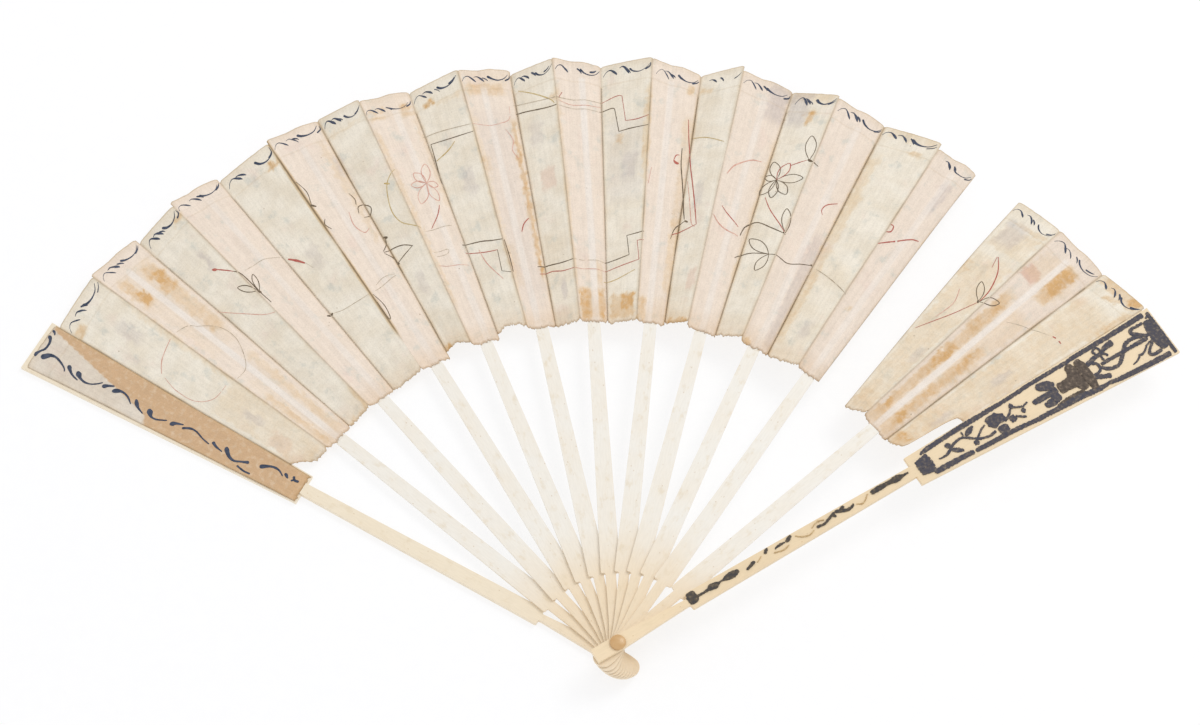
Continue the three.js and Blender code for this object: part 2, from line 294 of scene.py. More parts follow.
def sized_vellum():
    """Sized vellum with old glue and handling: matt, warm, cloudy, ochre where glue has come through, with grey
    soil, worn folds and fine cockling. The stain attribute holds glue, soil, the rib's pale line and how far a stick
    backs the leaf; that backed tone is partly painted light and shade, setting the stick panels apart from the
    pleats that tilt the other way. The edges attribute holds the distances to the two folds, the rim and the torn
    edge in millimetres. The folds attribute holds the distance to the rib and how dark each fold is. The UV map is
    in millimetres."""
    material, tree = new_material("Sized vellum")
    uv = add_node(tree, "ShaderNodeUVMap", {"uv_map": "grain"}).outputs[0]
    stain = add_node(tree, "ShaderNodeAttribute", {"attribute_name": "stain"})
    amounts = add_node(tree, "ShaderNodeSeparateColor", inputs={0: stain.outputs["Color"]})
    edges = add_node(tree, "ShaderNodeAttribute", {"attribute_name": "edges"})
    sides = add_node(tree, "ShaderNodeSeparateColor", inputs={0: edges.outputs["Color"]})
    folds = add_node(tree, "ShaderNodeAttribute", {"attribute_name": "folds"})
    fold = add_node(tree, "ShaderNodeSeparateXYZ", inputs={"Vector": folds.outputs["Vector"]})
    spot = add_node(tree, "ShaderNodeAttribute", {"attribute_name": "spot"})
    tint = add_node(tree, "ShaderNodeSeparateXYZ", inputs={"Vector": spot.outputs["Vector"]})
    cloud = add_node(tree, "ShaderNodeTexNoise", inputs={"Vector": uv, "Scale": 0.09, "Detail": 5.0})
    aged = add_node(
        tree, "ShaderNodeMapRange", inputs={"Value": cloud.outputs[0], "From Min": 0.38, "From Max": 0.66}
    )
    # The washed-out picture of the far face shows through as blue-grey and pinkish clouds of 4 to 10 mm.
    wash = patches(tree, uv, 31.0, 0.8, 0.15, (0.55, 0.72), (0.0, 0.6))
    blush = patches(tree, uv, 97.0, 0.7, 0.07, (0.56, 0.76), (0.0, 0.4))
    # Stains break up into blots 1 to 3 mm wide, and the heaviest of them are brown.
    blots = patches(tree, uv, 0.0, 1.0, 0.42, (0.28, 0.66), (0.76, 1.12))
    glue_amount = add_node(
        tree, "ShaderNodeMath", {"operation": "MULTIPLY", "use_clamp": True}, {0: amounts.outputs[0], 1: blots}
    )
    glue_tone = add_node(
        tree, "ShaderNodeValToRGB", inputs={0: glue_amount.outputs[0]},
        stops=[(0.0, linear("e8cda0")), (0.92, rgba(colours().glue))],
    )
    soil_amount = add_node(
        tree, "ShaderNodeMath", {"operation": "MULTIPLY", "use_clamp": True}, {0: amounts.outputs[1], 1: blots}
    )
    # Rubbing along the sticks leaves streaks about 1 mm wide. The skin's hair pores are drawn 0.6 mm apart.
    streaks = patches(tree, uv, 0.0, 0.06, 0.9, (0.34, 0.62), (0.94, 1.0))
    streak_tone = add_node(tree, "ShaderNodeCombineColor", inputs={0: streaks, 1: streaks, 2: streaks})
    pores = add_node(tree, "ShaderNodeTexNoise", inputs={"Vector": uv, "Scale": 1.6, "Detail": 2.0})
    pore_tone = add_node(
        tree, "ShaderNodeValToRGB", inputs={0: pores.outputs[0]}, stops=[(0.32, grey(0.92)), (0.58, grey(1.0))]
    )
    # The sheet is thinner and thicker in spots 2 to 3 mm wide.
    mottle = patches(tree, uv, 53.0, 1.0, 0.35, (0.34, 0.66), (0.95, 1.0))
    mottle_tone = add_node(tree, "ShaderNodeCombineColor", inputs={0: mottle, 1: mottle, 2: mottle})
    # Fly specks and rust spots, half a millimetre wide, one to a square centimetre or so.
    specks = add_node(tree, "ShaderNodeTexVoronoi", inputs={"Vector": uv, "Scale": 0.1})
    speck_mask = add_node(
        tree, "ShaderNodeValToRGB", inputs={0: specks.outputs["Distance"]},
        stops=[(0.018, grey(0.55)), (0.04, grey(0.0))],
    )
    base = lay_coats(tree, rgba(colours().vellum), [(aged.outputs[0], rgba(colours().vellum_deep), "MIX")])
    coats = [
        # Stick panels take the backed tone: the leaf over a stick, with painted light and shade for the panels' tilt
        # against the pleats.
        (stain.outputs["Alpha"], rgba(colours().backed_and_tilt_shade), "MIX"),
        (wash, linear("d2d3ca"), "MIX"),
        (blush, linear("edd2c6"), "MIX"),
        (tint.outputs[2], linear("e0b9a4"), "MIX"),
        (glue_amount.outputs[0], glue_tone.outputs[0], "MIX"),
        (soil_amount.outputs[0], rgba(colours().soil), "MIX"),
        (line_beside(tree, fold.outputs[0], 0.0, 0.8, 1.1, [amounts.outputs[2], 0.9]), linear("f5ece3"), "MIX"),
    ]
    for side, dark in ((sides.outputs[0], fold.outputs[1]), (sides.outputs[1], fold.outputs[2])):
        coats.append((line_beside(tree, side, 0.0, 0.1, 1.3, [dark, blots, 0.75]), linear("d3b380"), "MIX"))
        coats.append((line_beside(tree, side, 0.0, 0.15, 0.4, [dark, 0.72]), linear("80684a"), "MIX"))
    coats += [
        (line_beside(tree, sides.outputs[2], 0.0, 0.15, 0.35, [0.45]), linear("c4a87c"), "MIX"),
        (line_beside(tree, sides.outputs[2], 0.0, 0.8, 3.0, [0.14, blots]), linear("d6b88a"), "MIX"),
        (line_beside(tree, sides.outputs[2], 9.6, 0.1, 0.5, [0.14, blots]), linear("c4a87c"), "MIX"),
        (line_beside(tree, edges.outputs["Alpha"], 0.0, 1.5, 10.0, [0.26, blots]), linear("dcb585"), "MIX"),
        (line_beside(tree, edges.outputs["Alpha"], 0.0, 0.2, 1.3, [0.4, blots]), linear("b28a55"), "MIX"),
        (1.0, streak_tone.outputs[0], "MULTIPLY"),
        (1.0, pore_tone.outputs[0], "MULTIPLY"),
        (1.0, mottle_tone.outputs[0], "MULTIPLY"),
        (speck_mask.outputs[0], linear("8f7350"), "MIX"),
    ]
    fine = add_node(
        tree, "ShaderNodeBump", inputs={"Height": pores.outputs[0], "Strength": 0.35, "Distance": 0.00015}
    )
    cockle = add_node(
        tree, "ShaderNodeBump",
        inputs={"Height": cloud.outputs[0], "Strength": 0.5, "Distance": 0.0012, "Normal": fine.outputs[0]},
    )
    toned = lay_coats(tree, base, coats)
    finish_surface(tree, **{"Base Color": toned, "Roughness": 0.72, "IOR": 1.45, "Normal": cockle.outputs[0]})
    return material


def paint(name, colour, faded, wear):
    """Gouache or ink laid on vellum by hand: matt, thinner and paler where the brush ran dry and where it rubbed
    off, at about 2 mm."""
    material, tree = new_material(name)
    uv = add_node(tree, "ShaderNodeUVMap", {"uv_map": "grain"})
    dry = add_node(tree, "ShaderNodeTexNoise", inputs={"Vector": uv.outputs[0], "Scale": 0.5, "Detail": 4.0})
    amount = add_node(
        tree, "ShaderNodeMapRange",
        inputs={"Value": dry.outputs[0], "From Min": 0.35, "From Max": 0.65, "To Min": 0.0, "To Max": wear},
    )
    tone = add_node(
        tree, "ShaderNodeMix", {"data_type": "RGBA"}, {0: amount.outputs[0], 6: rgba(colour), 7: linear(faded)}
    )
    finish_surface(tree, **{"Base Color": tone.outputs[2], "Roughness": 0.8, "IOR": 1.45})
    return material


def raised_ornament(name, dark, light, rubbed, bump_scale):
    """Dark moulded composition glued on bone: blue-black to brown, rubbed to tan on its high points, gritty."""
    material, tree = new_material(name)
    where = add_node(tree, "ShaderNodeTexCoord")
    # Rub marks 1 to 2 mm wide, and grit of about 0.4 mm.
    rub = add_node(
        tree, "ShaderNodeTexNoise", inputs={"Vector": where.outputs["Object"], "Scale": 700.0, "Detail": 5.0}
    )
    tone = add_node(
        tree, "ShaderNodeValToRGB", inputs={0: rub.outputs[0]},
        stops=[(0.38, linear(dark)), (0.56, linear(light)), (0.74, linear(rubbed))],
    )
    grit = add_node(
        tree, "ShaderNodeTexNoise", inputs={"Vector": where.outputs["Object"], "Scale": bump_scale, "Detail": 3.0}
    )
    bump = add_node(
        tree, "ShaderNodeBump", inputs={"Height": grit.outputs[0], "Strength": 0.6, "Distance": 0.0003}
    )
    finish_surface(
        tree, **{"Base Color": tone.outputs[0], "Roughness": 0.62, "IOR": 1.5, "Normal": bump.outputs[0]}
    )
    return material


def turned_horn():
    """Turned and polished pale horn: honey coloured, slightly translucent, with cloudy bands about 1 mm wide."""
    material, tree = new_material("Turned pale horn")
    where = add_node(tree, "ShaderNodeTexCoord")
    bands = add_node(
        tree, "ShaderNodeTexNoise", inputs={"Vector": where.outputs["Object"], "Scale": 450.0, "Detail": 3.0}
    )
    tone = add_node(
        tree, "ShaderNodeMix", {"data_type": "RGBA"},
        {0: bands.outputs[0], 6: rgba(colours().horn), 7: linear("dcb98a")},
    )
    finish_surface(tree, **{"Base Color": tone.outputs[2], "Roughness": 0.28, "IOR": 1.56})
    return material


def dull_brass():
    """Hammered brass pin: yellow metal, dulled and scratched, with tarnish in blots of about half a millimetre."""
    material, tree = new_material("Dull brass")
    where = add_node(tree, "ShaderNodeTexCoord")
    tarnish = add_node(
        tree, "ShaderNodeTexNoise", inputs={"Vector": where.outputs["Object"], "Scale": 1500.0, "Detail": 4.0}
    )
    tone = add_node(
        tree, "ShaderNodeValToRGB", inputs={0: tarnish.outputs[0]},
        stops=[(0.35, linear("8a6d3b")), (0.65, linear("c8a867"))],
    )
    rough = add_node(
        tree, "ShaderNodeMapRange", inputs={"Value": tarnish.outputs[0], "To Min": 0.28, "To Max": 0.55}
    )
    finish_surface(
        tree, **{"Base Color": tone.outputs[0], "Metallic": 1.0, "Roughness": rough.outputs[0]}
    )
    return material


def backlit_acrylic():
    """Opal acrylic, cast and sanded matt, lit from behind: even near-white, so that shadows on it stay faint."""
    material, tree = new_material("Backlit opal acrylic")
    where = add_node(tree, "ShaderNodeTexCoord")
    haze = add_node(
        tree, "ShaderNodeTexNoise", inputs={"Vector": where.outputs["Object"], "Scale": 200.0, "Detail": 2.0}
    )
    tone = add_node(
        tree, "ShaderNodeValToRGB", inputs={0: haze.outputs[0]}, stops=[(0.3, linear("8c8c8e")), (0.7, linear("8e8e90"))]
    )
    finish_surface(
        tree,
        **{"Base Color": tone.outputs[0], "Roughness": 0.9, "Emission Color": (1, 1, 1, 1), "Emission Strength": 0.72},
    )
    return material


def material_named(name, make):
    """The material of that name, made once."""
    return bpy.data.materials.get(name) or make()


def bone_for(piece):
    """The bone of a piece. The two guards have yellowed more than the sticks, and the right one the most."""
    deep = colours().bone_deep
    if piece == "left guard":
        return polished_bone("Polished bone of the left guard", linear("f1e4cd"), deep, 0, 60)
    if piece == "right guard":
        return polished_bone("Polished bone of the right guard", linear("ead3ae"), linear("f2dcb9"), 0, 60)
    return material_named(
        "Polished stick bone", lambda: polished_bone("Polished stick bone", colours().bone, deep, 22, 62)
    )


def shaped_object(name, bm, materials, body):
    """Turns a bmesh into a piece that rides on a CAD body and takes the given materials."""
    mesh = bpy.data.meshes.new(name)
    bm.to_mesh(mesh)
    bm.free()
    for material in materials:
        mesh.materials.append(material)
    made = bpy.data.objects.new(name, mesh)
    bpy.context.scene.collection.objects.link(made)
    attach(made, body)
    return made


def across_and_along(point, angle):
    """A point in a stick's own millimetres: to its right, and out from the rivet."""
    turn = math.radians(angle)
    x, y = point[0] / MM, point[1] / MM
    return x * math.sin(turn) - y * math.cos(turn), x * math.cos(turn) + y * math.sin(turn)


def map_grain(bm, angle, shift):
    """Gives a bmesh its UV map in millimetres across and along a stick."""
    layer = bm.loops.layers.uv.verify()
    for face in bm.faces:
        for loop in face.loops:
            across, along = across_and_along(loop.vert.co, angle)
            loop[layer].uv = (across + shift + loop.vert.co.z / MM, along)


def softened_copy(name, node, angle, index, material, body):
    """A copy of a CAD node with its loose triangles merged and its worn edges rounded."""
    bm = bmesh.new()
    bm.from_mesh(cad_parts[node].data)
    bmesh.ops.remove_doubles(bm, verts=bm.verts, dist=2e-6)
    bmesh.ops.dissolve_limit(bm, angle_limit=math.radians(0.5), verts=bm.verts, edges=bm.edges)
    sharp = [edge for edge in bm.edges if edge.is_manifold and edge.calc_face_angle() > math.radians(35)]
    bmesh.ops.bevel(
        bm, geom=sharp, offset=sizes().edge_softness, offset_type="OFFSET", affect="EDGES", segments=2, profile=0.5,
        material=-1, clamp_overlap=True,
    )
    bmesh.ops.triangulate(bm, faces=[face for face in bm.faces if len(face.verts) > 4])
    map_grain(bm, angle, index * 30.0)
    piece = shaped_object(name, bm, [material], body)
    piece.data.uv_layers[0].name = "grain"
    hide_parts(node)
    return piece


class FAN_OT_inner_sticks(bpy.types.Operator):
    """Eleven bone sticks with worn edges"""

    bl_idname = "fan.inner_sticks"
    bl_label = "Inner sticks"

    def execute(self, context):
        for index in range(1, STICK_COUNT + 1):
            label = f"{index:02d}"
            softened_copy(
                f"bone_stick_{label}", f"stick_{label}", stick_angle(index), index, bone_for("stick"),
                f"stick_body_{label}",
            )
        return {"FINISHED"}


class FAN_OT_guards(bpy.types.Operator):
    """The two outer guards"""

    bl_idname = "fan.guards"
    bl_label = "Guards"

    def execute(self, context):
        for side, angle, index in (("left", stick_angle(0), 20), ("right", stick_angle(STICK_COUNT + 1), 21)):
            softened_copy(
                f"bone_guard_{side}", f"guard_{side}", angle, index, bone_for(f"{side} guard"), f"{side}_guard"
            )
        return {"FINISHED"}


class FAN_OT_rivet(bpy.types.Operator):
    """The brass pin and its horn washer"""

    bl_idname = "fan.rivet"
    bl_label = "Rivet"

    def execute(self, context):
        for node, material in (
            ("rivet_pin", material_named("Dull brass", dull_brass)),
            ("rivet_washer", material_named("Turned pale horn", turned_horn)),
        ):
            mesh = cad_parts[node].data
            mesh.materials.clear()
            mesh.materials.append(material)
        return {"FINISHED"}


# The leaf. Its parts are numbered from the left: 0 is its end on the left guard, then pleats and stick panels
# take turns up to its end on the right guard. A place on the leaf is (part number + share across it, radius in mm).
VELLUM, SLATE, BROWN, RED, OCHRE, BROWN_TRACE, RED_TRACE = range(7)


def crease_wobble(number, radius):
    """Small wandering of a fold, in degrees and millimetres, that both parts beside it share."""
    place = Vector((number * 7.3, radius * 0.018, 0.5))
    return 0.10 * noise.noise(place), 0.35 * noise.noise(place + Vector((50, 0, 0)))


def table_value(points, place):
    """The value at a place between the points of a table of (place, value)."""
    for (x0, y0), (x1, y1) in zip(points, points[1:]):
        if place <= x1:
            return y0 + (y1 - y0) * max(0.0, place - x0) / (x1 - x0)
    return points[-1][1]


# How far the rim of each part stands over the leaf's outer radius at its left and right ends, in millimetres.
RIM_ENDS = [
    (1.4, 1.4), (-0.6, 0.6), (1.6, 1.6), (-0.8, -0.8), (1.0, 1.0), (-1.0, -1.0), (0.6, 2.2), (2.5, 0.4), (-0.5, 0.8),
    (0.0, 1.4), (1.2, 1.2), (-1.0, 0.6), (1.2, 0.2), (0.2, 1.5), (1.0, -0.2), (-0.5, 3.4), (1.2, 1.2), (0.8, 1.8),
    (0.6, 0.6), (0.7, 0.7), (-2.2, 0.5), (0.7, -1.4), (-1.2, 1.6), (2.0, 3.4), (2.0, 2.0),
]
# Where the lower edge is torn or cut: part number, then (share across the part, radius).
LOWER_EDGES = {
    0: [(0, 142.3), (1, 142.3)],
    1: [(0, 151.8), (0.05, 151.5), (0.5, 143.5), (1, 143.0)],
    7: [(0, 146.0), (0.4, 147.5), (0.7, 146.5), (1, 144.0)],
    9: [(0, 145.0), (0.3, 147.5), (0.5, 147.0), (0.8, 145.5), (1, 143.5)],
    15: [(0, 144.5), (1, 145.0)],
    17: [(0, 144.0), (1, 144.5)],
    21: [(0, 140.5), (0.6, 142.0), (0.9, 143.5), (1, 143.5)],
    22: [(0, 142.0), (1, 142.0)],
    23: [(0, 142.8), (0.3, 144), (0.5, 146), (0.57, 148), (0.62, 157), (0.68, 167), (0.74, 171.5), (1, 173)],
}
# How dark each fold is, from the left edge of part 0 to the right edge of the last part.
FOLD_DARKNESS = [
    0.3, 0.5, 0.35, 0.35, 0.3, 0.35, 1.5, 0.6, 0.3, 0.35, 0.45, 0.45, 0.35, 0.3, 0.45, 0.6, 0.3, 0.5, 0.35, 0.55,
    0.35, 0.35, 0.35, 0.5, 0.4, 0.3,
]
# The rib's line on each stick panel: share across the panel, and how pale it is.
RIB_LINES = [
    (0.48, 0.95), (0.60, 0.55), (0.50, 0.6), (0.60, 0.65), (0.42, 0.7), (0.59, 0.95), (0.42, 0.75), (0.52, 0.6),
    (0.57, 0.6), (0.57, 0.6), (0.46, 1.0),
]


class LeafPart:
    """One flat-folded part of the leaf: where its two edges run and how high they stand."""

    def __init__(self, number, name, body, node, left, right, left_height, right_height, stick=None, joint=None,
                 anchor=0.0):
        self.number = number
        self.name = name
        self.body = body
        self.node = node
        self.left = left
        self.right = right
        self.left_height = left_height
        self.right_height = right_height
        self.stick = stick
        self.joint = joint
        self.anchor = anchor

    def angle(self, share, radius):
        left = self.left(radius) + crease_wobble(self.number, radius)[0]
        right = self.right(radius) + crease_wobble(self.number + 1, radius)[0]
        return left + (right - left) * share

    def width(self, radius):
        """Width of the part in millimetres at a radius."""
        return math.radians(self.left(radius) - self.right(radius)) * radius

    def inner(self, share):
        """Radius of the worn or torn lower edge, which is rounded off at the folds."""
        place = Vector(((self.number + share) * 6.2, 2.0, 7.0))
        edge = table_value(LOWER_EDGES.get(self.number, [(0, 142.9), (1, 142.9)]), share)
        edge += 0.8 * noise.noise(place) + 0.8 * noise.noise(place * 4) + 0.5 * noise.noise(place * 9)
        if self.number:
            for corner in (share, 1 - share):
                edge += 0.9 * max(0.0, 1 - corner * self.width(LEAF_INNER) / 1.4) ** 2
        return edge

    def outer(self, share):
        left, right = RIM_ENDS[self.number]
        corner = min(share, 1 - share) * self.width(LEAF_OUTER)
        rounded = 0.6 * max(0.0, 1 - corner / 1.4) ** 2
        ragged = 0.15 * noise.noise(Vector(((self.number + share) * 9.0, 5.0, 1.0)))
        return LEAF_OUTER + left + (right - left) * share - rounded + ragged

    def height(self, share, radius):
        left = self.left_height(radius) + crease_wobble(self.number, radius)[1]
        right = self.right_height(radius) + crease_wobble(self.number + 1, radius)[1]
        if self.stick is None:
            belly = 0.35 * math.sin(math.pi * share) * noise.noise(Vector((self.number, radius * 0.02, 3)))
            return left + (right - left) * share + belly
        # Over the rib the leaf lies flat, and on both sides of it the leaf bends to its folds.
        middle = leaf_level(self.stick)
        rib_half = 2.5 + (1.75 - 2.5) * (radius - LEAF_INNER) / (256 - LEAF_INNER) + 0.5
        side = (stick_angle(self.stick) - self.angle(share, radius)) * math.radians(radius)
        edge_angle = self.left(radius) if side < 0 else self.right(radius)
        reach = abs(stick_angle(self.stick) - edge_angle) * math.radians(radius) - rib_half
        bend = min(1.1, max(0.0, (abs(side) - rib_half) / max(reach, 0.5)))
        target = left if side < 0 else right
        return middle + (target - middle) * bend ** 1.15

    def place(self, share, radius, lift=0.0):
        """A point of the painted face in metres, lifted along the leaf's normal by millimetres."""
        turn = math.radians(self.angle(share, radius))
        point = Vector((radius * math.cos(turn), radius * math.sin(turn), self.height(share, radius)))
        if lift:
            step = 0.02
            before, after = max(share - step, 0), min(share + step, 1)
            slope = (self.height(after, radius) - self.height(before, radius)) / ((after - before) * self.width(radius))
            to_right = Vector((math.sin(turn), -math.cos(turn), 0))
            point += (Vector((0, 0, 1)) - to_right * slope).normalized() * lift
        return point * MM


def build_leaf_parts():
    depth = sizes().fold_depth / MM

    def fold(index, side):
        low = 0.68 if index == 1 and side < 0 else 1.0
        return lambda radius: leaf_level(index) + side * low * depth * radius / LEAF_OUTER

    def fixed(value):
        return lambda radius: value

    def left_of(index):
        return fixed(stick_angle(index) + PANEL_ANGLES[index - 1] / 2)

    def right_of(index):
        # The split has left the panel before it about 0.6 degrees narrower.
        torn_off = 0.6 if index == SPLIT_AFTER else 0.0
        return fixed(stick_angle(index) - PANEL_ANGLES[index - 1] / 2 + torn_off)

    def end_left(radius):
        # The pasted end stops short of the left guard's own edge.
        return stick_angle(0) + math.degrees(math.atan2(6.35 + 4.05 * (radius - 146) / 118, radius))

    def torn_left(radius):
        return stick_angle(STICK_COUNT) + 7.5 - 1.23 * max(0.0, (LEAF_OUTER - radius) / 121) ** 2.4

    def torn_low(radius):
        return leaf_level(STICK_COUNT) - 3.0 * radius / LEAF_OUTER

    blade_top = fixed(BLADE_THICKNESS + 0.25)
    right_end = fixed(GUARD_TOP - BLADE_THICKNESS - 0.12)
    guard_right = stick_angle(STICK_COUNT + 1)
    leaf_start = fixed(stick_angle(0) - LEAF_END_ANGLE)
    leaf_stop = fixed(guard_right + LEAF_END_ANGLE)
    rows = [
        ("end_left", "left_guard", "leaf_end_left", end_left, leaf_start, blade_top, blade_top, None,
         "fan_fold", BLADE_THICKNESS + 0.25),
        ("pleat_00", "pleat_body_00", "leaf_pleat_00", leaf_start, left_of(1), blade_top, fold(1, 1), None,
         "fan_fold", BLADE_THICKNESS + 0.25),
    ]
    for index in range(1, STICK_COUNT + 1):
        joint = "fan_fold" if index <= SPLIT_AFTER else "split_side_fold"
        label = f"{index:02d}"
        level = leaf_level(index)
        if index == STICK_COUNT:
            rows.append(
                ("torn", "pleat_body_torn", "leaf_pleat_torn", torn_left, left_of(index), torn_low, fold(index, 1),
                 None, joint, level)
            )
        rows.append(
            (f"panel_{label}", f"stick_body_{label}", f"leaf_panel_{label}", left_of(index), right_of(index),
             fold(index, 1), fold(index, -1), index, joint, level)
        )
        if index < SPLIT_AFTER:
            rows.append(
                (f"pleat_{label}", f"pleat_body_{label}", f"leaf_pleat_{label}", right_of(index),
                 left_of(index + 1), fold(index, -1), fold(index + 1, 1), None, joint, level)
            )
    rows.append(
        ("pleat_11", "pleat_body_11", "leaf_pleat_11", right_of(STICK_COUNT), leaf_stop, fold(STICK_COUNT, -1),
         right_end, None, "split_side_fold", leaf_level(STICK_COUNT))
    )
    rows.append(
        ("end_right", "right_guard", "leaf_end_right", leaf_stop, fixed(guard_right - LEAF_END_ANGLE + 0.4),
         right_end, right_end, None, None, 0.0)
    )
    return [LeafPart(number, *row) for number, row in enumerate(rows)]


def soft_step(value, start, end):
    share = min(1.0, max(0.0, (value - start) / (end - start)))
    return share * share * (3 - 2 * share)


def near(value, middle, half, blur):
    """One inside a band, falling to zero over the blur beside it."""
    return 1 - soft_step(abs(value - middle), half, half + blur)


# Stains that stand out: place across in parts, radius, half sizes in parts and millimetres, and strength.
GLUE_STAINS = [
    (1.12, 255.0, 0.10, 1.6, 0.6), (2.24, 246.5, 0.10, 9.5, 0.4), (2.30, 243.5, 0.07, 3.2, 0.75),
    (2.76, 233.0, 0.15, 24.0, 0.38), (2.76, 243.5, 0.13, 6.0, 0.3), (2.17, 161.0, 0.08, 18.0, 0.4),
    (2.73, 171.0, 0.08, 28.0, 0.28), (3.87, 257.5, 0.10, 0.8, 0.6), (3.50, 143.8, 0.48, 0.8, 0.4),
    (3.94, 149.0, 0.05, 5.5, 0.45), (5.88, 254.3, 0.10, 1.4, 0.7), (7.50, 256.5, 0.45, 0.5, 0.25),
    (7.14, 147.3, 0.14, 1.0, 0.9), (8.22, 257.5, 0.16, 0.5, 0.4), (8.85, 257.5, 0.13, 0.5, 0.55),
    (8.22, 254.0, 0.16, 0.6, 0.4), (8.85, 254.0, 0.13, 0.6, 0.4), (9.30, 255.8, 0.09, 1.0, 0.85),
    (9.65, 254.3, 0.30, 0.5, 0.28), (10.45, 256.0, 0.42, 2.6, 0.36), (10.12, 220.0, 0.06, 3.4, 0.3),
    (10.15, 172.0, 0.12, 11.0, 0.22), (11.92, 246.5, 0.05, 2.2, 0.5), (12.50, 151.0, 0.48, 7.4, 0.8),
    (12.75, 165.5, 0.12, 6.0, 0.28), (13.96, 229.0, 0.03, 26.0, 0.45), (13.38, 228.0, 0.05, 2.6, 0.5),
    (13.63, 152.0, 0.20, 3.0, 0.5), (14.83, 254.8, 0.04, 2.0, 0.6), (14.88, 175.0, 0.10, 19.0, 0.36),
    (14.14, 149.0, 0.12, 5.5, 0.45), (15.17, 256.0, 0.15, 0.9, 0.55), (15.50, 145.6, 0.46, 1.0, 0.7),
    (17.54, 253.0, 0.03, 4.0, 0.6), (17.54, 255.5, 0.11, 0.5, 0.5), (18.15, 144.0, 0.13, 1.5, 0.55),
    (19.11, 200.0, 0.09, 56.0, 0.38), (19.72, 255.5, 0.11, 0.8, 0.5), (20.34, 178.0, 0.05, 0.9, 0.4),
    (21.58, 255.0, 0.40, 0.8, 0.36), (21.05, 225.0, 0.04, 5.0, 0.45), (22.65, 245.0, 0.12, 12.5, 0.7),
    (22.23, 190.0, 0.11, 44.0, 0.38), (22.24, 187.0, 0.11, 7.0, 0.25), (22.72, 175.0, 0.11, 29.0, 0.42),
    (23.83, 265.5, 0.11, 1.4, 0.55), (23.50, 259.0, 0.10, 1.0, 0.55), (23.94, 251.0, 0.04, 10.0, 0.5),
    (23.25, 147.0, 0.25, 3.5, 0.5), (2.50, 230.0, 0.40, 30.0, 0.16), (2.50, 165.0, 0.42, 24.0, 0.14),
    (1.50, 168.0, 0.45, 26.0, 0.28), (21.50, 190.0, 0.48, 52.0, 0.36), (21.50, 246.0, 0.46, 7.0, 0.30), (22.50, 185.0, 0.48, 46.0, 0.28),
    (23.50, 200.0, 0.48, 60.0, 0.38), (19.50, 170.0, 0.48, 28.0, 0.10), (13.50, 150.0, 0.44, 6.0, 0.66),
    (11.50, 170.0, 0.44, 18.0, 0.10), (15.50, 150.0, 0.44, 6.0, 0.12), (14.50, 150.0, 0.44, 6.0, 0.14),
    (22.50, 150.0, 0.46, 7.0, 0.30), (23.30, 160.0, 0.30, 14.0, 0.14), (21.50, 149.0, 0.46, 5.0, 0.16),
    (8.07, 205.0, 0.04, 50.0, 0.35), (8.95, 230.0, 0.03, 25.0, 0.25), (10.88, 203.0, 0.035, 43.0, 0.75),
    (14.86, 215.0, 0.07, 30.0, 0.3), (12.03, 205.0, 0.02, 55.0, 0.25), (6.86, 230.0, 0.05, 30.0, 0.3),
    (10.05, 205.0, 0.04, 45.0, 0.25), (16.97, 205.0, 0.03, 40.0, 0.28), (1.96, 200.0, 0.03, 55.0, 0.3),
    (10.50, 258.0, 0.45, 6.0, 0.14), (8.50, 258.0, 0.45, 6.0, 0.12), (12.60, 165.0, 0.30, 8.0, 0.10),
    (23.50, 264.0, 0.48, 3.0, 0.55), (17.50, 263.0, 0.46, 2.5, 0.32), (19.50, 263.0, 0.46, 2.5, 0.28),
    (22.50, 246.0, 0.46, 8.0, 0.25),
]
SOIL_STAINS = [
    (3.70, 236.5, 0.05, 3.2, 0.4), (1.58, 238.0, 0.11, 4.5, 0.28), (6.98, 243.0, 0.08, 2.8, 0.3),
    (1.52, 175.0, 0.07, 3.0, 0.3), (11.55, 159.0, 0.06, 3.0, 0.4), (16.78, 256.5, 0.20, 8.0, 0.42),
    (17.25, 257.0, 0.23, 7.5, 0.42), (18.84, 174.0, 0.14, 31.0, 0.3), (20.63, 243.5, 0.11, 8.0, 0.35),
    (21.35, 249.0, 0.24, 5.5, 0.35), (19.60, 160.0, 0.12, 2.5, 0.3), (23.55, 198.0, 0.08, 4.0, 0.35),
    (23.52, 167.0, 0.07, 3.5, 0.35), (21.75, 178.0, 0.10, 3.0, 0.25), (9.60, 215.0, 0.14, 5.0, 0.3),
    (11.40, 232.0, 0.16, 4.0, 0.25), (13.60, 215.0, 0.14, 5.0, 0.25), (5.50, 210.0, 0.12, 4.0, 0.25),
    (7.40, 178.0, 0.12, 4.0, 0.25), (15.45, 205.0, 0.12, 4.0, 0.25), (13.50, 218.0, 0.44, 20.0, 0.16),
    (10.50, 200.0, 0.44, 50.0, 0.13),
]
PINK_STAINS = [
    (11.55, 210.0, 0.22, 4.5, 0.4), (15.75, 165.0, 0.13, 4.5, 0.4), (1.35, 160.0, 0.22, 4.5, 0.35),
    (22.20, 240.0, 0.14, 3.6, 0.75), (0.65, 182.5, 0.14, 2.4, 0.7),
]
# The lower edge of the lavender patch on the leaf's left end: millimetres across and along the left guard.
PATCH_EDGE = [(-8.0, 211.7), (-4.5, 213.3), (1.0, 234.0), (9.25, 264.7)]


def stained(stains, place, radius, blur, wander):
    """Strength of the listed stains at a place, with soft and wandering outlines."""
    total = 0.0
    for middle, height, half_width, half_height, strength in stains:
        if abs(place - middle) < half_width + 0.25 and abs(radius - height) < half_height + 9:
            across = near(place, middle + 0.09 * wander, half_width * 0.8, 0.07)
            along = near(radius, height + 1.6 * wander, half_height * 0.8, blur + half_height * 0.12)
            total += strength * across * along
    return total


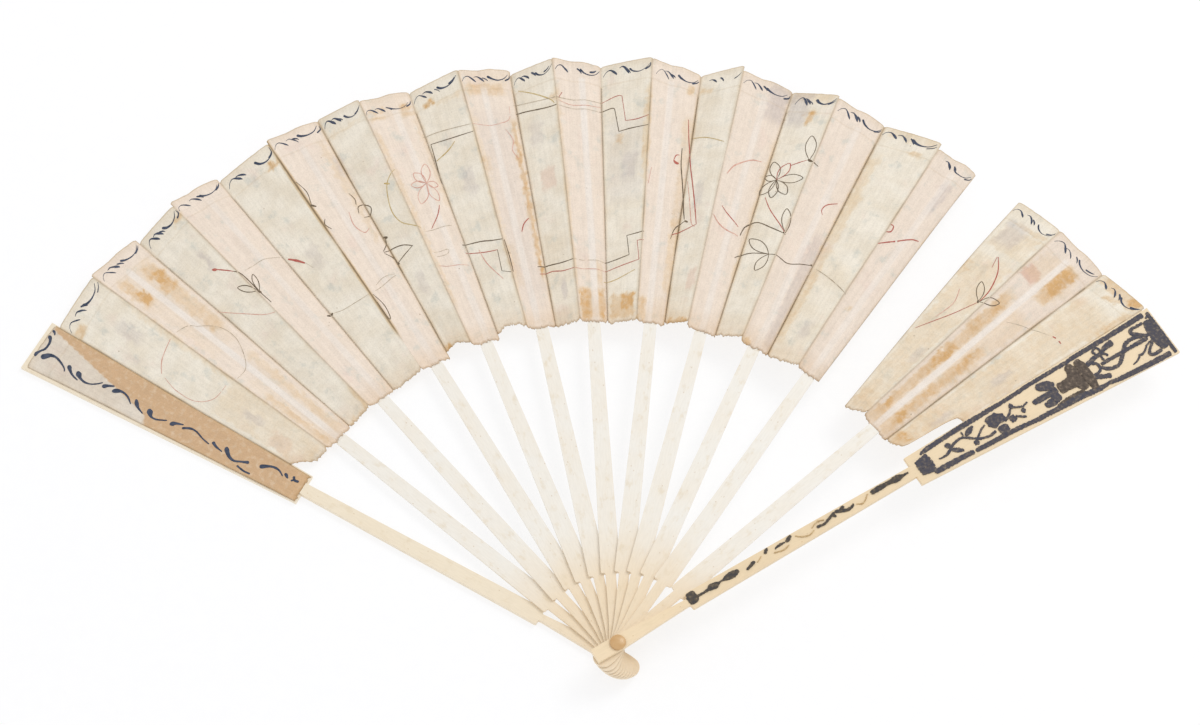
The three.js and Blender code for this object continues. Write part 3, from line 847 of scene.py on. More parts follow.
def stain_at(part, share, radius):
    """Glue, soil, the rib's paleness and pink of the leaf at a place."""
    place = part.number + share
    speckle = 0.5 + 0.5 * noise.noise(Vector((place * 4.0, radius * 0.13, 1.7)))
    wander = noise.noise(Vector((place * 7.0, radius * 0.35, 4.0))) + 0.5 * noise.noise(
        Vector((place * 20.0, radius * 0.9, 8.0))
    )
    glue = stained(GLUE_STAINS, place, radius, 0.9, wander) * (0.65 + 0.7 * speckle)
    soil = stained(SOIL_STAINS, place, radius, 4.0, wander)
    pink = stained(PINK_STAINS, place, radius, 1.5, wander)
    pale = 0.0
    if part.stick is not None:
        pale = RIB_LINES[part.stick - 1][1] * soft_step(257.5 - radius, 0.0, 1.5) * (0.6 + 0.7 * speckle)
    if part.number == 0:
        turn = math.radians(stick_angle(0) - part.angle(share, radius))
        patch = soft_step(radius * math.cos(turn) - table_value(PATCH_EDGE, radius * math.sin(turn)), -0.6, 0.6)
        soil = 0.28 * patch + 0.24 * (1 - patch)
        glue = 0.20 * patch + (1 - patch) * (0.92 + 0.40 * speckle)
    return min(glue, 1.0), min(soil, 1.0), min(pale, 1.0), min(pink, 1.0)


def mark_surface(bm, vert, part, share, radius):
    """Writes on a vertex all that the vellum's material reads there."""
    width = part.width(radius)
    glue, soil, pale, pink = stain_at(part, share, radius)
    # The fourth value lays the backed tone on stick panels, which is partly painted light and shade for their tilt.
    vert[bm.verts.layers.float_color["stain"]] = (glue, soil, pale, 0.0 if part.stick is None else 0.8)
    vert[bm.verts.layers.float_color["edges"]] = (
        share * width, (1 - share) * width, part.outer(share) - radius, radius - part.inner(share)
    )
    tones = []
    for number in (part.number, part.number + 1):
        uneven = 0.9 + 0.7 * noise.noise(Vector((number * 3.7, radius * 0.06, 6.0)))
        reach = soft_step(radius, 155, 165) if number == 6 else 1.0
        tones.append(max(0.0, FOLD_DARKNESS[number] * uneven * reach))
    middle = RIB_LINES[part.stick - 1][0] if part.stick is not None else -9.0
    vert[bm.verts.layers.float_vector["folds"]] = ((share - middle) * width, tones[0], tones[1])
    vert[bm.verts.layers.float_vector["spot"]] = (part.number * 40.0 + (share - 0.5) * width, radius, pink)


def leaf_sheet(part, columns, rows):
    """The vellum of one part: a grid laid on the folded face; its thickness is given afterwards, when the leaf is
    built.
    """
    bm = bmesh.new()
    bmesh.ops.create_grid(bm, x_segments=columns, y_segments=rows, size=0.5)
    for name in ("stain", "edges"):
        bm.verts.layers.float_color.new(name)
    for name in ("spot", "folds"):
        bm.verts.layers.float_vector.new(name)
    for vert in bm.verts:
        share = vert.co.x + 0.5
        reach = vert.co.y + 0.5
        inner = part.inner(share)
        radius = inner + (part.outer(share) - inner) * reach
        mark_surface(bm, vert, part, share, radius)
        vert.co = part.place(share, radius)
    bmesh.ops.recalc_face_normals(bm, faces=bm.faces)
    if sum(face.normal.z for face in bm.faces) < 0:
        bmesh.ops.reverse_faces(bm, faces=bm.faces)
    return bm


def map_spots(bm):
    """Copies each vertex's own millimetres to the UV map."""
    spots = bm.verts.layers.float_vector["spot"]
    layer = bm.loops.layers.uv.new("grain")
    for face in bm.faces:
        for loop in face.loops:
            spot = loop.vert[spots]
            loop[layer].uv = (spot[0], spot[1])


def lay_strip(bm, part, rows, ink, stations):
    """Lays a narrow strip of paint or paper on a part. Each station is a list of (share, radius, lift) across it."""
    before = set(bm.faces)
    made = bmesh.ops.create_grid(bm, x_segments=rows, y_segments=len(stations) - 1, size=0.5)["verts"]
    for vert in made:
        station = stations[round((vert.co.y + 0.5) * (len(stations) - 1))]
        share, radius, lift = station[round((vert.co.x + 0.5) * rows)]
        mark_surface(bm, vert, part, share, radius)
        vert.co = part.place(share, radius, lift)
    faces = [face for face in bm.faces if face not in before]
    for face in faces:
        face.material_index = ink
        face.normal_update()
    if rows == 1 and sum(face.normal.z for face in faces) < 0:
        bmesh.ops.reverse_faces(bm, faces=faces)


BINDING_RISE = 0.03


def lay_binding(bm, part):
    """The paper strip that is folded over the rim: on the painted face, round the rim and down the back. The
    leaf's end on the left guard has none."""
    width = sizes().binding_width / MM
    back = -sizes().leaf_thickness / MM
    if part.number == 0:
        return
    steps = 28
    stations = []
    for step in range(steps + 1):
        share = step / steps
        rim = part.outer(share)
        ragged = 0.3 * noise.noise(Vector(((part.number + share) * 6, 9, 1)))
        face = [
            (share, rim - width + ragged + (width - ragged - 0.3) * row / 8, BINDING_RISE) for row in range(9)
        ]
        # The pasted edge ramps down into the leaf.
        station = [(share, rim - width + ragged - 0.3, -0.01)] + face
        station += [(share, rim + 0.15, 0.0), (share, rim + 0.15, back)]
        station += [(share, rim - 0.3, back - BINDING_RISE), (share, rim - width, back - BINDING_RISE)]
        stations.append(station)
    lay_strip(bm, part, len(stations[0]) - 1, VELLUM, stations)


def curve_points(points, spacing):
    """A smooth curve through points, as evenly spaced points. Distances are in millimetres on the leaf."""
    padded = [points[0]] + list(points) + [points[-1]]
    line = []
    for a, b, c, d in zip(padded, padded[1:], padded[2:], padded[3:]):
        length = math.hypot((c[0] - b[0]) * 18, c[1] - b[1])
        steps = max(2, int(length / spacing))
        for step in range(steps):
            t = step / steps
            line.append(tuple(
                0.5 * (2 * q + (r - p) * t + (2 * p - 5 * q + 4 * r - s) * t * t + (3 * q - p - 3 * r + s) * t ** 3)
                for p, q, r, s in zip(a, b, c, d)
            ))
    line.append(tuple(points[-1]))
    return line


STROKE_SPACING = 0.35


def rounded_end(index, total, brush):
    """How much of its width a stroke has near its two rounded ends."""
    reach = min(index, total - index) * STROKE_SPACING + 0.08
    return min(1.0, math.sqrt(reach / max(brush * 0.5, 0.1)))


def draw_on_leaf(meshes, parts, points, width, ink, order=0, faded=0.0):
    """Draws one brush or pen stroke through places on the leaf, part by part, so that each piece of it folds with
    its part. The width is one number, or one for each point. Faded strokes break off where the paint has rubbed
    away, and the order keeps crossing strokes from lying in one plane."""
    widths = width if isinstance(width, list) else [width * 0.6] + [width] * (len(points) - 2) + [width * 0.6]
    line = curve_points([(x, y, w) for (x, y), w in zip(points, widths)], STROKE_SPACING)
    total = len(line) - 1
    if faded > 0.15:
        ink = {BROWN: BROWN_TRACE, RED: RED_TRACE}.get(ink, ink)
    lift = sizes().ink_lift / MM + (order * 5 % 13) * 0.004
    run = []
    current = None
    for index, (place, radius, brush) in enumerate(line):
        number = int(math.floor(place))
        rubbed = noise.noise(Vector((place * 9.0, radius * 0.6, 11.0)))
        brush = max(0.15, brush) * (1 + 0.25 * rubbed) * rounded_end(index, total, brush) * (1 - 0.5 * faded)
        broken = faded > 0 and rubbed > 0.9 - faded
        if number != current or broken:
            close_stroke(meshes, parts, current, run, ink, lift)
            run = []
            current = number
        if not broken:
            ahead = line[min(index + 1, total)]
            behind = line[max(index - 1, 0)]
            run.append((place - number, radius, brush, ahead[0] - behind[0], ahead[1] - behind[1]))
    close_stroke(meshes, parts, current, run, ink, lift)


def close_stroke(meshes, parts, number, run, ink, lift):
    if number is None or len(run) < 3 or not 0 <= number < len(parts):
        return
    part = parts[number]
    stations = []
    for share, radius, brush, step_across, step_out in run:
        width = part.width(radius)
        across = step_across * width
        length = math.hypot(across, step_out) or 1.0
        side_across = -step_out / length * brush / 2
        side_out = across / length * brush / 2
        first = min(0.995, max(0.005, share + side_across / width))
        second = min(0.995, max(0.005, share - side_across / width))
        on_binding = part.number > 0 and radius > part.outer(share) - sizes().binding_width / MM - 0.5
        high = lift + BINDING_RISE if on_binding else lift
        stations.append([(first, radius + side_out, high), (second, radius - side_out, high)])
    lay_strip(meshes[number], part, 1, ink, stations)


def petal(meshes, parts, place, radius, across, out, plump, width, ink, order):
    """The outline of a petal or leaf that starts at a place and points across and out by millimetres."""
    number = min(len(parts) - 1, int(place))
    scale = parts[number].width(radius)
    length = math.hypot(across, out)
    side = (-out / length * plump, across / length * plump)
    outline = [(0, 0), (0.35, 0.8), (0.7, 0.9), (1, 0), (0.7, -0.9), (0.35, -0.8), (0, 0)]
    points = [
        (place + (across * a + side[0] * b) / scale, radius + out * a + side[1] * b) for a, b in outline
    ]
    draw_on_leaf(meshes, parts, points, width, ink, order)


# The running scroll's strokes on one part: (share across, millimetres over the scroll's middle line, brush width).
SCROLL = [
    [(0.04, -1.2, 0.2), (0.10, 0.4, 0.3), (0.18, 1.0, 0.6), (0.27, -0.4, 1.2), (0.31, -1.4, 0.4)],
    [(0.27, 0.7, 0.2), (0.34, 1.0, 0.6), (0.42, -0.2, 1.2), (0.46, -1.4, 0.3)],
    [(0.47, 0.7, 0.8), (0.53, -0.2, 0.9), (0.56, -1.2, 0.3)],
    [(0.55, 0.5, 1.2), (0.62, -0.8, 1.1), (0.74, -1.3, 0.6), (0.87, -0.4, 0.4), (0.96, 1.6, 0.2)],
    [(0.83, -0.9, 0.9), (0.92, 0.1, 0.7), (0.975, 1.4, 0.2)],
]


# Parts where the scroll stands lower, in millimetres, and strokes that have rubbed off.
SCROLL_DROPS = {8: 1.9, 14: 0.6, 19: -0.5}
LOST_STROKES = {15: (0, 3), 5: (2,), 12: (1,), 20: (0,)}


def border_scroll(meshes, parts):
    """The running scroll of comma strokes on the binding, which starts anew on each part."""
    for part in parts[1:-1]:
        drop = SCROLL_DROPS.get(part.number, 0.0)
        for order, stroke in enumerate(SCROLL):
            if order in LOST_STROKES.get(part.number, ()):
                continue
            hand = noise.noise(Vector((part.number * 1.73, order * 2.31, 0.4)))
            sway = noise.noise(Vector((part.number * 2.91, order * 1.37, 5.2)))
            points = []
            for across, rise, brush in stroke:
                share = min(0.975, max(0.025, across + 0.11 * hand))
                rim = part.outer(share) - 4.0 - drop
                points.append((part.number + share, rim + 0.9 * sway + rise * (1.15 + 0.6 * hand)))
            strength = 0.74 + 0.55 * sway
            draw_on_leaf(meshes, parts, points, [brush * strength for across, rise, brush in stroke], SLATE, order)


# The same scroll along the leaf's left end: (across, along, brush width) in millimetres on the left guard.
LEFT_SCROLL = [
    [(-4.7, 264.8, 0.6), (-3.3, 265, 1.4), (-1.5, 264.1, 0.9), (0.3, 263, 1), (3.1, 262.9, 1), (4.9, 263.6, 1.2),
     (6, 264.9, 2)],
    [(7.2, 263, 0.5), (8.2, 263.6, 0.8), (8.8, 264.8, 1.5)],
    [(-4, 262.4, 2.6), (-2.2, 260.8, 2.2), (-1.1, 259.3, 1.4), (-0.9, 257, 1), (-1.9, 254.2, 0.8),
     (-3.3, 251.9, 0.6), (-4.5, 251, 0.5)],
    [(-1.1, 250.9, 1.8), (-2.6, 249.6, 1.6), (-3.9, 247.9, 0.9), (-4.6, 246.3, 0.7), (-5.1, 244.4, 0.5)],
    [(-1.6, 246.4, 2.2), (-2.6, 245.4, 2.4), (-3.8, 243.8, 1.2), (-4.4, 241.4, 0.8), (-3.8, 238.8, 0.7),
     (-2.3, 236.6, 0.6), (-0.8, 235.1, 0.5)],
    [(-2.6, 234.4, 2), (-1.4, 233.2, 1.5), (-0.6, 231.8, 1), (0.2, 230.2, 0.6)],
    [(-2.4, 229.8, 2), (-1.4, 228.9, 2.2), (-0.5, 227, 1.2), (-0.5, 225, 0.9), (-1.4, 222.8, 0.8), (-3.3, 220.5, 0.5)],
    [(-0.3, 219.7, 1), (-1.8, 218.6, 1.8), (-3.2, 217, 0.9), (-4.4, 214.2, 0.5)],
    [(-1.2, 213, 1.8), (-2.2, 212.2, 2.6), (-3.8, 210.6, 1.1), (-3.9, 208.4, 0.8), (-3, 206.2, 0.7), (-2, 204.2, 0.5)],
    [(-3, 202.4, 1.6), (-2.2, 201.6, 1.9), (-1.4, 200.6, 1.2), (-0.3, 197.5, 0.5)],
    [(-1.9, 197.3, 1.2), (-0.3, 194.3, 0.9), (-0.3, 191.4, 0.7), (-1.6, 187.9, 0.6), (-2.4, 184.3, 0.5)],
    [(-0.7, 183.6, 1.6), (-1.9, 181.4, 0.9), (-2.6, 178.2, 0.5)],
    [(0.2, 177.6, 1), (-1, 176.9, 2), (-3, 174.6, 1.2), (-3.6, 172.1, 0.9), (-2.6, 169.6, 0.8), (-1.2, 166.4, 1.4)],
    [(-4.8, 170, 0.8), (-5.5, 166.4, 0.8), (-5.3, 163.6, 0.8)],
    [(-0.7, 161.9, 2.2), (0.9, 159.6, 1.4), (2, 157.1, 1), (1.9, 154.3, 0.8), (0.4, 151.8, 0.5)],
    [(2.1, 151.6, 1.8), (1.4, 150.6, 1.2), (0.6, 149.6, 0.6)],
    [(2.7, 147.9, 1.2), (1.3, 146.8, 1.2), (1.6, 145, 1)],
    [(0.3, 148, 0.8), (0.9, 147.5, 0.8), (1.4, 147, 0.8)],
]


def left_end_scroll(meshes, parts):
    """The same scroll, painted along the leaf's end on the left guard."""
    part = parts[0]
    for order, stroke in enumerate(LEFT_SCROLL):
        points = []
        for across, along, brush in stroke:
            radius = math.hypot(across, along)
            left = part.angle(0, radius)
            turned = stick_angle(0) - math.degrees(math.atan2(across, along))
            share = (left - turned) / (left - part.angle(1, radius))
            points.append((min(0.98, max(0.02, share)), min(radius, part.outer(share) - 0.3)))
        draw_on_leaf(meshes, parts, points, [brush for across, along, brush in stroke], SLATE, order)


# Drawn ornament, freehand: a stepped frame in the middle, and sprays of flowers and leaves beside it.
FRAME_LINES = [
    (BROWN, 0.42, 0.1, [(9.06, 238.0), (9.03, 229.0), (8.985, 219.0)]),
    (BROWN, 0.45, 0.1, [(9.06, 237.8), (9.5, 236.6), (9.98, 235.6)]),
    (BROWN, 0.42, 0.2, [(8.95, 242.0), (9.3, 241.6), (9.98, 239.2)]),
    (RED, 0.35, 0.4, [(10.0, 239.2), (10.5, 238.6), (10.8, 241.0), (10.86, 247.5)]),
    (BROWN, 0.35, 0.2, [(10.95, 248.2), (11.3, 247.4), (12.0, 246.3), (13.0, 246.5)]),
    (BROWN, 0.50, 0.0, [(10.97, 243.9), (11.2, 243.7), (11.7, 242.6), (12.0, 242.6)]),
    (BROWN, 0.30, 0.3, [(12.0, 242.6), (12.4, 242.0), (12.98, 242.0)]),
    (RED, 0.35, 0.3, [(12.05, 245.0), (12.25, 243.9), (12.6, 243.8), (13.0, 244.4)]),
    (RED, 0.38, 0.1, [(13.0, 246.6), (13.3, 248.9), (13.42, 248.7)]),
    (RED, 0.38, 0.1, [(13.42, 248.7), (13.5, 236.5)]),
    (RED, 0.38, 0.1, [(13.5, 236.5), (13.75, 236.6), (14.0, 238.0)]),
    (BROWN, 0.48, 0.0, [(12.95, 242.0), (13.2, 243.4), (13.27, 242.9)]),
    (BROWN, 0.48, 0.0, [(13.27, 242.9), (13.36, 231.7)]),
    (BROWN, 0.48, 0.0, [(13.36, 231.7), (13.6, 232.5), (14.0, 233.2)]),
    (RED, 0.45, 0.1, [(14.86, 240.8), (14.94, 230.4), (15.06, 220.0), (15.19, 212.0), (15.4, 200.0), (15.56, 190.8)]),
    (BROWN, 0.45, 0.0, [(14.8, 226.4), (14.83, 218.4), (14.92, 210.4), (15.04, 200.0), (15.14, 193.4)]),
    (RED, 0.35, 0.2, [(15.05, 212.0), (15.2, 203.0), (15.38, 192.0), (15.52, 189.6)]),
    (BROWN, 0.9, 0.0, [(15.14, 192.8), (15.2, 192.6), (15.27, 192.0)]),
    (RED, 0.4, 0.1, [(15.56, 190.8), (15.3, 189.0), (15.05, 187.4), (14.9, 186.0), (14.82, 184.8)]),
    (BROWN, 0.4, 0.1, [(15.14, 192.5), (14.97, 190.4), (14.87, 187.5), (14.81, 183.0)]),
    (BROWN, 0.45, 0.0, [(14.04, 183.5), (13.87, 182.9), (13.58, 182.2)]),
    (BROWN, 0.45, 0.0, [(13.58, 182.2), (13.66, 173.2)]),
    (BROWN, 0.45, 0.0, [(13.66, 173.2), (13.3, 171.7), (12.95, 170.6)]),
    (BROWN, 0.28, 0.4, [(12.95, 170.7), (12.5, 171.0), (12.0, 170.8)]),
    (BROWN, 0.48, 0.0, [(12.0, 170.7), (11.6, 170.6), (11.1, 171.1), (10.78, 170.7)]),
    (RED, 0.4, 0.1, [(14.05, 179.6), (13.87, 179.3)]),
    (RED, 0.4, 0.1, [(13.87, 179.3), (13.95, 170.5)]),
    (RED, 0.4, 0.1, [(13.95, 170.5), (13.5, 168.8), (12.95, 166.6)]),
    (RED, 0.3, 0.3, [(12.95, 166.6), (12.4, 167.0), (12.0, 166.7)]),
    (RED, 0.42, 0.1, [(12.0, 166.7), (11.6, 166.8), (11.2, 168.0), (10.8, 167.3)]),
    (OCHRE, 0.5, 0.3, [(12.9, 161.5), (13.3, 162.5), (13.85, 166.0)]),
    (BROWN, 0.48, 0.0, [(8.92, 188.7), (9.4, 187.1), (9.7, 185.5), (10.0, 184.3)]),
    (RED, 0.42, 0.1, [(8.93, 184.8), (9.3, 182.5), (9.55, 181.3), (9.78, 180.6)]),
    (BROWN, 0.38, 0.1, [(9.78, 180.6), (9.73, 171.0)]),
    (BROWN, 0.38, 0.1, [(9.73, 171.0), (9.98, 169.0)]),
    (RED, 0.42, 0.2, [(9.3, 184.0), (9.4, 176.5), (9.7, 167.5)]),
    (BROWN, 0.45, 0.1, [(10.03, 184.0), (10.05, 176.0), (10.04, 169.0)]),
    (BROWN, 0.3, 0.3, [(6.25, 185.5), (6.5, 187.3), (6.8, 187.0)]),
    (BROWN, 0.3, 0.3, [(6.12, 183.0), (6.5, 184.6), (6.8, 186.2)]),
    (BROWN, 0.3, 0.3, [(8.12, 187.6), (8.5, 187.9), (8.46, 186.0), (8.15, 185.6)]),
    (RED, 0.3, 0.3, [(8.1, 181.2), (8.5, 180.0), (8.9, 178.8)]),
]
SPRAY_LINES = [
    (RED, 0.42, 0.2, [(1.25, 217.0), (1.5, 220.3), (1.92, 222.6)]),
    (RED, 0.28, 0.3, [(1.22, 215.0), (1.12, 208.0), (1.14, 199.0), (1.4, 193.2), (1.82, 192.3)]),
    (BROWN, 0.28, 0.3, [(2.08, 190.6), (2.4, 191.5), (2.62, 196.0), (2.8, 204.0), (2.75, 212.0), (2.45, 219.5)]),
    (BROWN, 0.35, 0.3, [(2.1, 222.8), (2.35, 222.0), (2.46, 219.5)]),
    (RED, 0.35, 0.3, [(2.97, 218.0), (3.3, 210.5), (3.7, 202.5), (3.97, 199.5)]),
    (RED, 1.1, 0.0, [(3.62, 231.8), (3.66, 231.0), (3.7, 230.2)]),
    (RED, 0.5, 0.0, [(3.66, 231.2), (3.8, 228.0), (3.94, 224.6)]),
    (BROWN, 0.5, 0.0, [(3.94, 224.6), (4.03, 221.5), (4.05, 216.0), (4.05, 211.0), (4.08, 204.0)]),
    (BROWN, 1.2, 0.0, [(4.03, 211.4), (4.05, 210.6), (4.07, 209.8)]),
    (BROWN, 0.28, 0.3, [(4.15, 222.2), (4.6, 222.0), (4.95, 219.6)]),
    (RED, 1.0, 0.0, [(5.06, 217.0), (5.18, 213.8), (5.27, 210.8)]),
    (BROWN, 0.3, 0.2, [(5.28, 210.8), (5.34, 207.0)]),
    (BROWN, 1.1, 0.0, [(4.9, 186.4), (4.98, 185.8), (5.06, 186.2)]),
    (BROWN, 0.3, 0.3, [(5.06, 186.0), (5.3, 184.2), (5.7, 183.2), (5.97, 182.8)]),
    (BROWN, 0.4, 0.0, [(6.03, 242.0), (6.1, 236.0), (6.03, 229.6)]),
    (BROWN, 1.1, 0.0, [(6.0, 229.6), (6.05, 229.0), (6.1, 228.2)]),
    (BROWN, 0.4, 0.0, [(6.1, 221.5), (6.03, 219.0), (6.1, 216.2)]),
    (BROWN, 0.4, 0.0, [(6.04, 182.0), (6.14, 176.0), (6.1, 170.0), (6.03, 169.4), (6.02, 178.0)]),
    (BROWN, 0.4, 0.1, [(6.83, 228.9), (6.88, 225.5), (6.84, 222.8)]),
    (RED, 0.42, 0.2, [(6.62, 220.5), (6.57, 214.0), (6.68, 209.3), (6.83, 210.6)]),
    (BROWN, 0.4, 0.0, [(6.8, 218.6), (6.86, 221.6), (7.0, 221.9), (7.12, 219.2), (7.0, 216.3), (6.86, 216.2)]),
    (BROWN, 1.1, 0.0, [(7.02, 204.8), (7.07, 204.2), (7.12, 203.6)]),
    (BROWN, 0.4, 0.0, [(7.07, 204.2), (6.98, 201.0), (6.84, 198.4)]),
    (BROWN, 0.42, 0.0, [(6.84, 197.9), (7.1, 198.1), (7.4, 197.0), (7.64, 194.5)]),
    (BROWN, 0.42, 0.0, [(7.64, 194.5), (7.3, 192.9), (7.02, 191.4)]),
    (BROWN, 0.42, 0.0, [(7.02, 191.4), (6.98, 194.4), (6.84, 197.4)]),
    (BROWN, 1.0, 0.0, [(6.98, 191.6), (7.02, 191.2), (7.06, 190.8)]),
    (OCHRE, 0.45, 0.3, [(8.1, 229.0), (7.77, 224.5), (7.6, 217.0), (7.56, 211.0), (7.66, 206.0), (7.9, 202.4), (8.08, 200.0)]),
    (OCHRE, 0.9, 0.1, [(7.7, 225.2), (7.77, 224.4), (7.83, 223.6)]),
    (RED, 0.42, 0.1, [(8.74, 208.6), (8.6, 204.0), (8.33, 198.8)]),
    (BROWN, 0.3, 0.2, [(8.15, 198.0), (8.45, 198.2), (8.85, 198.4)]),
    (OCHRE, 0.6, 0.2, [(9.05, 229.5), (9.35, 231.8), (9.55, 234.6)]),
    (OCHRE, 0.6, 0.3, [(11.12, 254.5), (11.5, 250.5), (11.84, 246.0), (11.94, 243.6)]),
    (RED, 0.4, 0.2, [(10.68, 236.0), (10.8, 231.0), (10.74, 226.0), (10.84, 222.0)]),
    (RED, 0.5, 0.1, [(10.55, 187.2), (10.64, 190.6), (10.8, 193.6)]),
    (RED, 0.45, 0.0, [(12.06, 246.4), (12.14, 249.0)]),
    (RED, 1.2, 0.0, [(14.64, 219.4), (14.70, 218.6), (14.77, 218.8)]),
    (RED, 0.5, 0.1, [(14.64, 219.4), (14.68, 222.0), (14.76, 222.8)]),
    (RED, 0.38, 0.2, [(14.13, 214.0), (14.07, 206.0)]),
    (OCHRE, 0.5, 0.3, [(15.02, 232.8), (15.4, 232.8), (15.9, 230.2)]),
    (RED, 0.7, 0.3, [(16.14, 216.0), (16.28, 221.6), (16.55, 225.6), (16.83, 227.5)]),
    (RED, 0.6, 0.2, [(16.05, 195.6), (16.2, 193.2), (16.5, 191.0), (16.78, 190.2)]),
    (RED, 0.4, 0.1, [(16.2, 201.2), (16.48, 197.4), (16.72, 194.2)]),
    (BROWN, 0.5, 0.0, [(16.83, 191.0), (16.9, 196.0), (17.15, 199.4), (17.6, 197.5), (18.04, 195.3)]),
    (BROWN, 1.0, 0.0, [(17.96, 196.2), (18.03, 195.4)]),
    (RED, 0.4, 0.1, [(17.16, 212.0), (17.4, 206.0), (17.8, 199.4), (18.0, 196.0)]),
    (RED, 0.4, 0.0, [(17.52, 228.6), (17.66, 230.2), (17.84, 232.0)]),
    (BROWN, 0.45, 0.0, [(17.9, 232.2), (18.02, 231.6), (18.14, 231.2)]),
    (BROWN, 1.3, 0.0, [(17.86, 232.4), (17.92, 232.0), (17.98, 231.6)]),
    (BROWN, 0.42, 0.0, [(17.8, 184.8), (17.3, 184.4), (17.0, 182.6), (16.86, 180.4)]),
    (BROWN, 0.42, 0.1, [(17.8, 184.8), (18.1, 185.0), (18.4, 184.7), (18.66, 186.4), (18.95, 189.2)]),
    (BROWN, 1.2, 0.0, [(18.93, 189.6), (18.98, 189.2)]),
    (BROWN, 0.4, 0.2, [(19.1, 188.6), (19.4, 186.8), (19.75, 184.2), (20.04, 181.6)]),
    (RED, 0.45, 0.1, [(18.86, 220.5), (18.66, 217.0), (18.6, 214.0), (18.66, 211.9)]),
    (RED, 0.5, 0.0, [(19.98, 219.8), (20.1, 220.2), (20.12, 217.6), (20.02, 216.0)]),
    (RED, 0.6, 0.1, [(20.0, 209.2), (20.3, 214.5), (20.6, 219.0), (20.88, 222.2)]),
    (RED, 0.5, 0.0, [(21.48, 236.6), (21.72, 230.0), (21.88, 221.0), (21.9, 214.4)]),
    (RED, 0.4, 0.1, [(21.46, 236.4), (21.54, 230.8)]),
    (BROWN, 1.4, 0.0, [(21.85, 214.4), (21.9, 213.2)]),
    (RED, 0.36, 0.12, [(21.88, 213.2), (21.65, 203.4), (21.4, 195.6), (21.14, 188.4)]),
    (RED, 0.4, 0.2, [(21.33, 214.4), (21.46, 207.0), (21.36, 197.6)]),
    (RED, 0.9, 0.0, [(23.42, 228.4), (23.5, 228.9)]),
    (RED, 0.9, 0.0, [(23.58, 228.9), (23.66, 228.6)]),
    (BROWN, 0.28, 0.3, [(22.6, 217.0), (22.98, 223.6), (23.36, 227.8)]),
]
# Petals and leaves: ink, place, radius, how far across and out they point, half width.
PETALS = [
    (RED_TRACE, 8.64, 219.6, 2.6, 9.2, 1.9), (RED_TRACE, 8.64, 219.6, -3.4, 6.0, 1.8),
    (RED_TRACE, 8.64, 219.6, -6.4, 1.0, 1.6), (RED_TRACE, 8.64, 219.6, -5.6, -8.4, 2.2),
    (RED_TRACE, 8.64, 219.6, 2.4, -9.0, 2.0), (RED_TRACE, 8.64, 219.6, 4.6, -1.6, 1.6),
    (BROWN, 17.3, 221.0, -3.4, 8.6, 2.1), (RED, 17.3, 221.0, 3.0, 8.6, 2.0), (BROWN, 17.3, 221.0, 10.2, 2.2, 2.2),
    (BROWN, 17.3, 221.0, 6.0, -6.6, 2.0), (BROWN, 17.3, 221.0, 0.2, -9.0, 1.9), (BROWN, 17.3, 221.0, -5.0, -8.0, 1.9),
    (BROWN, 17.3, 221.0, -5.0, 0.8, 1.5), (BROWN, 17.9, 232.2, -2.6, 12.0, 2.2), (BROWN, 18.02, 196.0, -3.4, 11.4, 2.0),
    (BROWN, 17.8, 184.8, -9.6, 6.2, 2.3), (BROWN, 17.8, 184.8, -3.2, -8.4, 2.0), (BROWN, 4.04, 211.2, -6.0, 7.2, 1.5),
    (BROWN, 4.06, 211.0, 3.2, 8.0, 1.2), (BROWN, 21.88, 214.0, -5.0, 8.6, 1.6), (BROWN, 21.9, 214.0, 5.4, 6.4, 1.5),
]


class FAN_OT_leaf(bpy.types.Operator):
    """The folded vellum leaf with its binding, stains and painted ornament"""

    bl_idname = "fan.leaf"
    bl_label = "Leaf"

    def execute(self, context):
        parts = build_leaf_parts()
        meshes = []
        for part in parts:
            if part.number != len(meshes):
                raise RuntimeError(f"leaf part {part.name} is out of order")
            bm = leaf_sheet(part, 28, 120)
            meshes.append(bm)
        materials = [
            material_named("Sized vellum", sized_vellum),
            paint("Slate body colour", colours().slate, "5b6274", 0.6),
            paint("Brown drawn line", colours().brown_line, "8f7d62", 0.5),
            paint("Faded red line", colours().red_line, "c98a78", 0.5),
            paint("Ochre drawn line", linear("bfa468"), "d8c79d", 0.8),
            paint("Rubbed brown line", linear("a3927a"), "d8cbb6", 0.9),
            paint("Rubbed red line", linear("cf9484"), "e6c3b2", 0.9),
        ]
        thickness = sizes().leaf_thickness
        for bm in meshes:
            # A wall grows against the normals, so the painted face stays where it was laid.
            bmesh.ops.solidify(bm, geom=bm.faces[:], thickness=thickness)
        for part, bm in zip(parts, meshes):
            lay_binding(bm, part)
        border_scroll(meshes, parts)
        left_end_scroll(meshes, parts)
        for order, (ink, width, faded, points) in enumerate(FRAME_LINES + SPRAY_LINES):
            draw_on_leaf(meshes, parts, points, width * 0.92, ink, order, faded)
        for order, (ink, place, radius, across, out, plump) in enumerate(PETALS):
            petal(meshes, parts, place, radius, across, out, plump, 0.32, ink, order)
        for part, bm in zip(parts, meshes):
            map_spots(bm)
            piece = shaped_object(f"vellum_{part.name}", bm, materials, part.body)
            for face in piece.data.polygons:
                face.use_smooth = True
            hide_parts(part.node)
            if part.joint:
                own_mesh(piece)
        return {"FINISHED"}


# Ornament of the right guard. Places are millimetres to the right of the guard's middle line and out from the rivet.
def guard_point(across, along, height):
    turn = math.radians(stick_angle(STICK_COUNT + 1))
    out = Vector((math.cos(turn), math.sin(turn), 0))
    right = Vector((math.sin(turn), -math.cos(turn), 0))
    return (out * along + right * across + Vector((0, 0, height))) * MM


# There are fewer pieces of ornament than tops, so no two pieces share a top.
ORNAMENT_TOPS = 71
TOP_STEP = 0.003


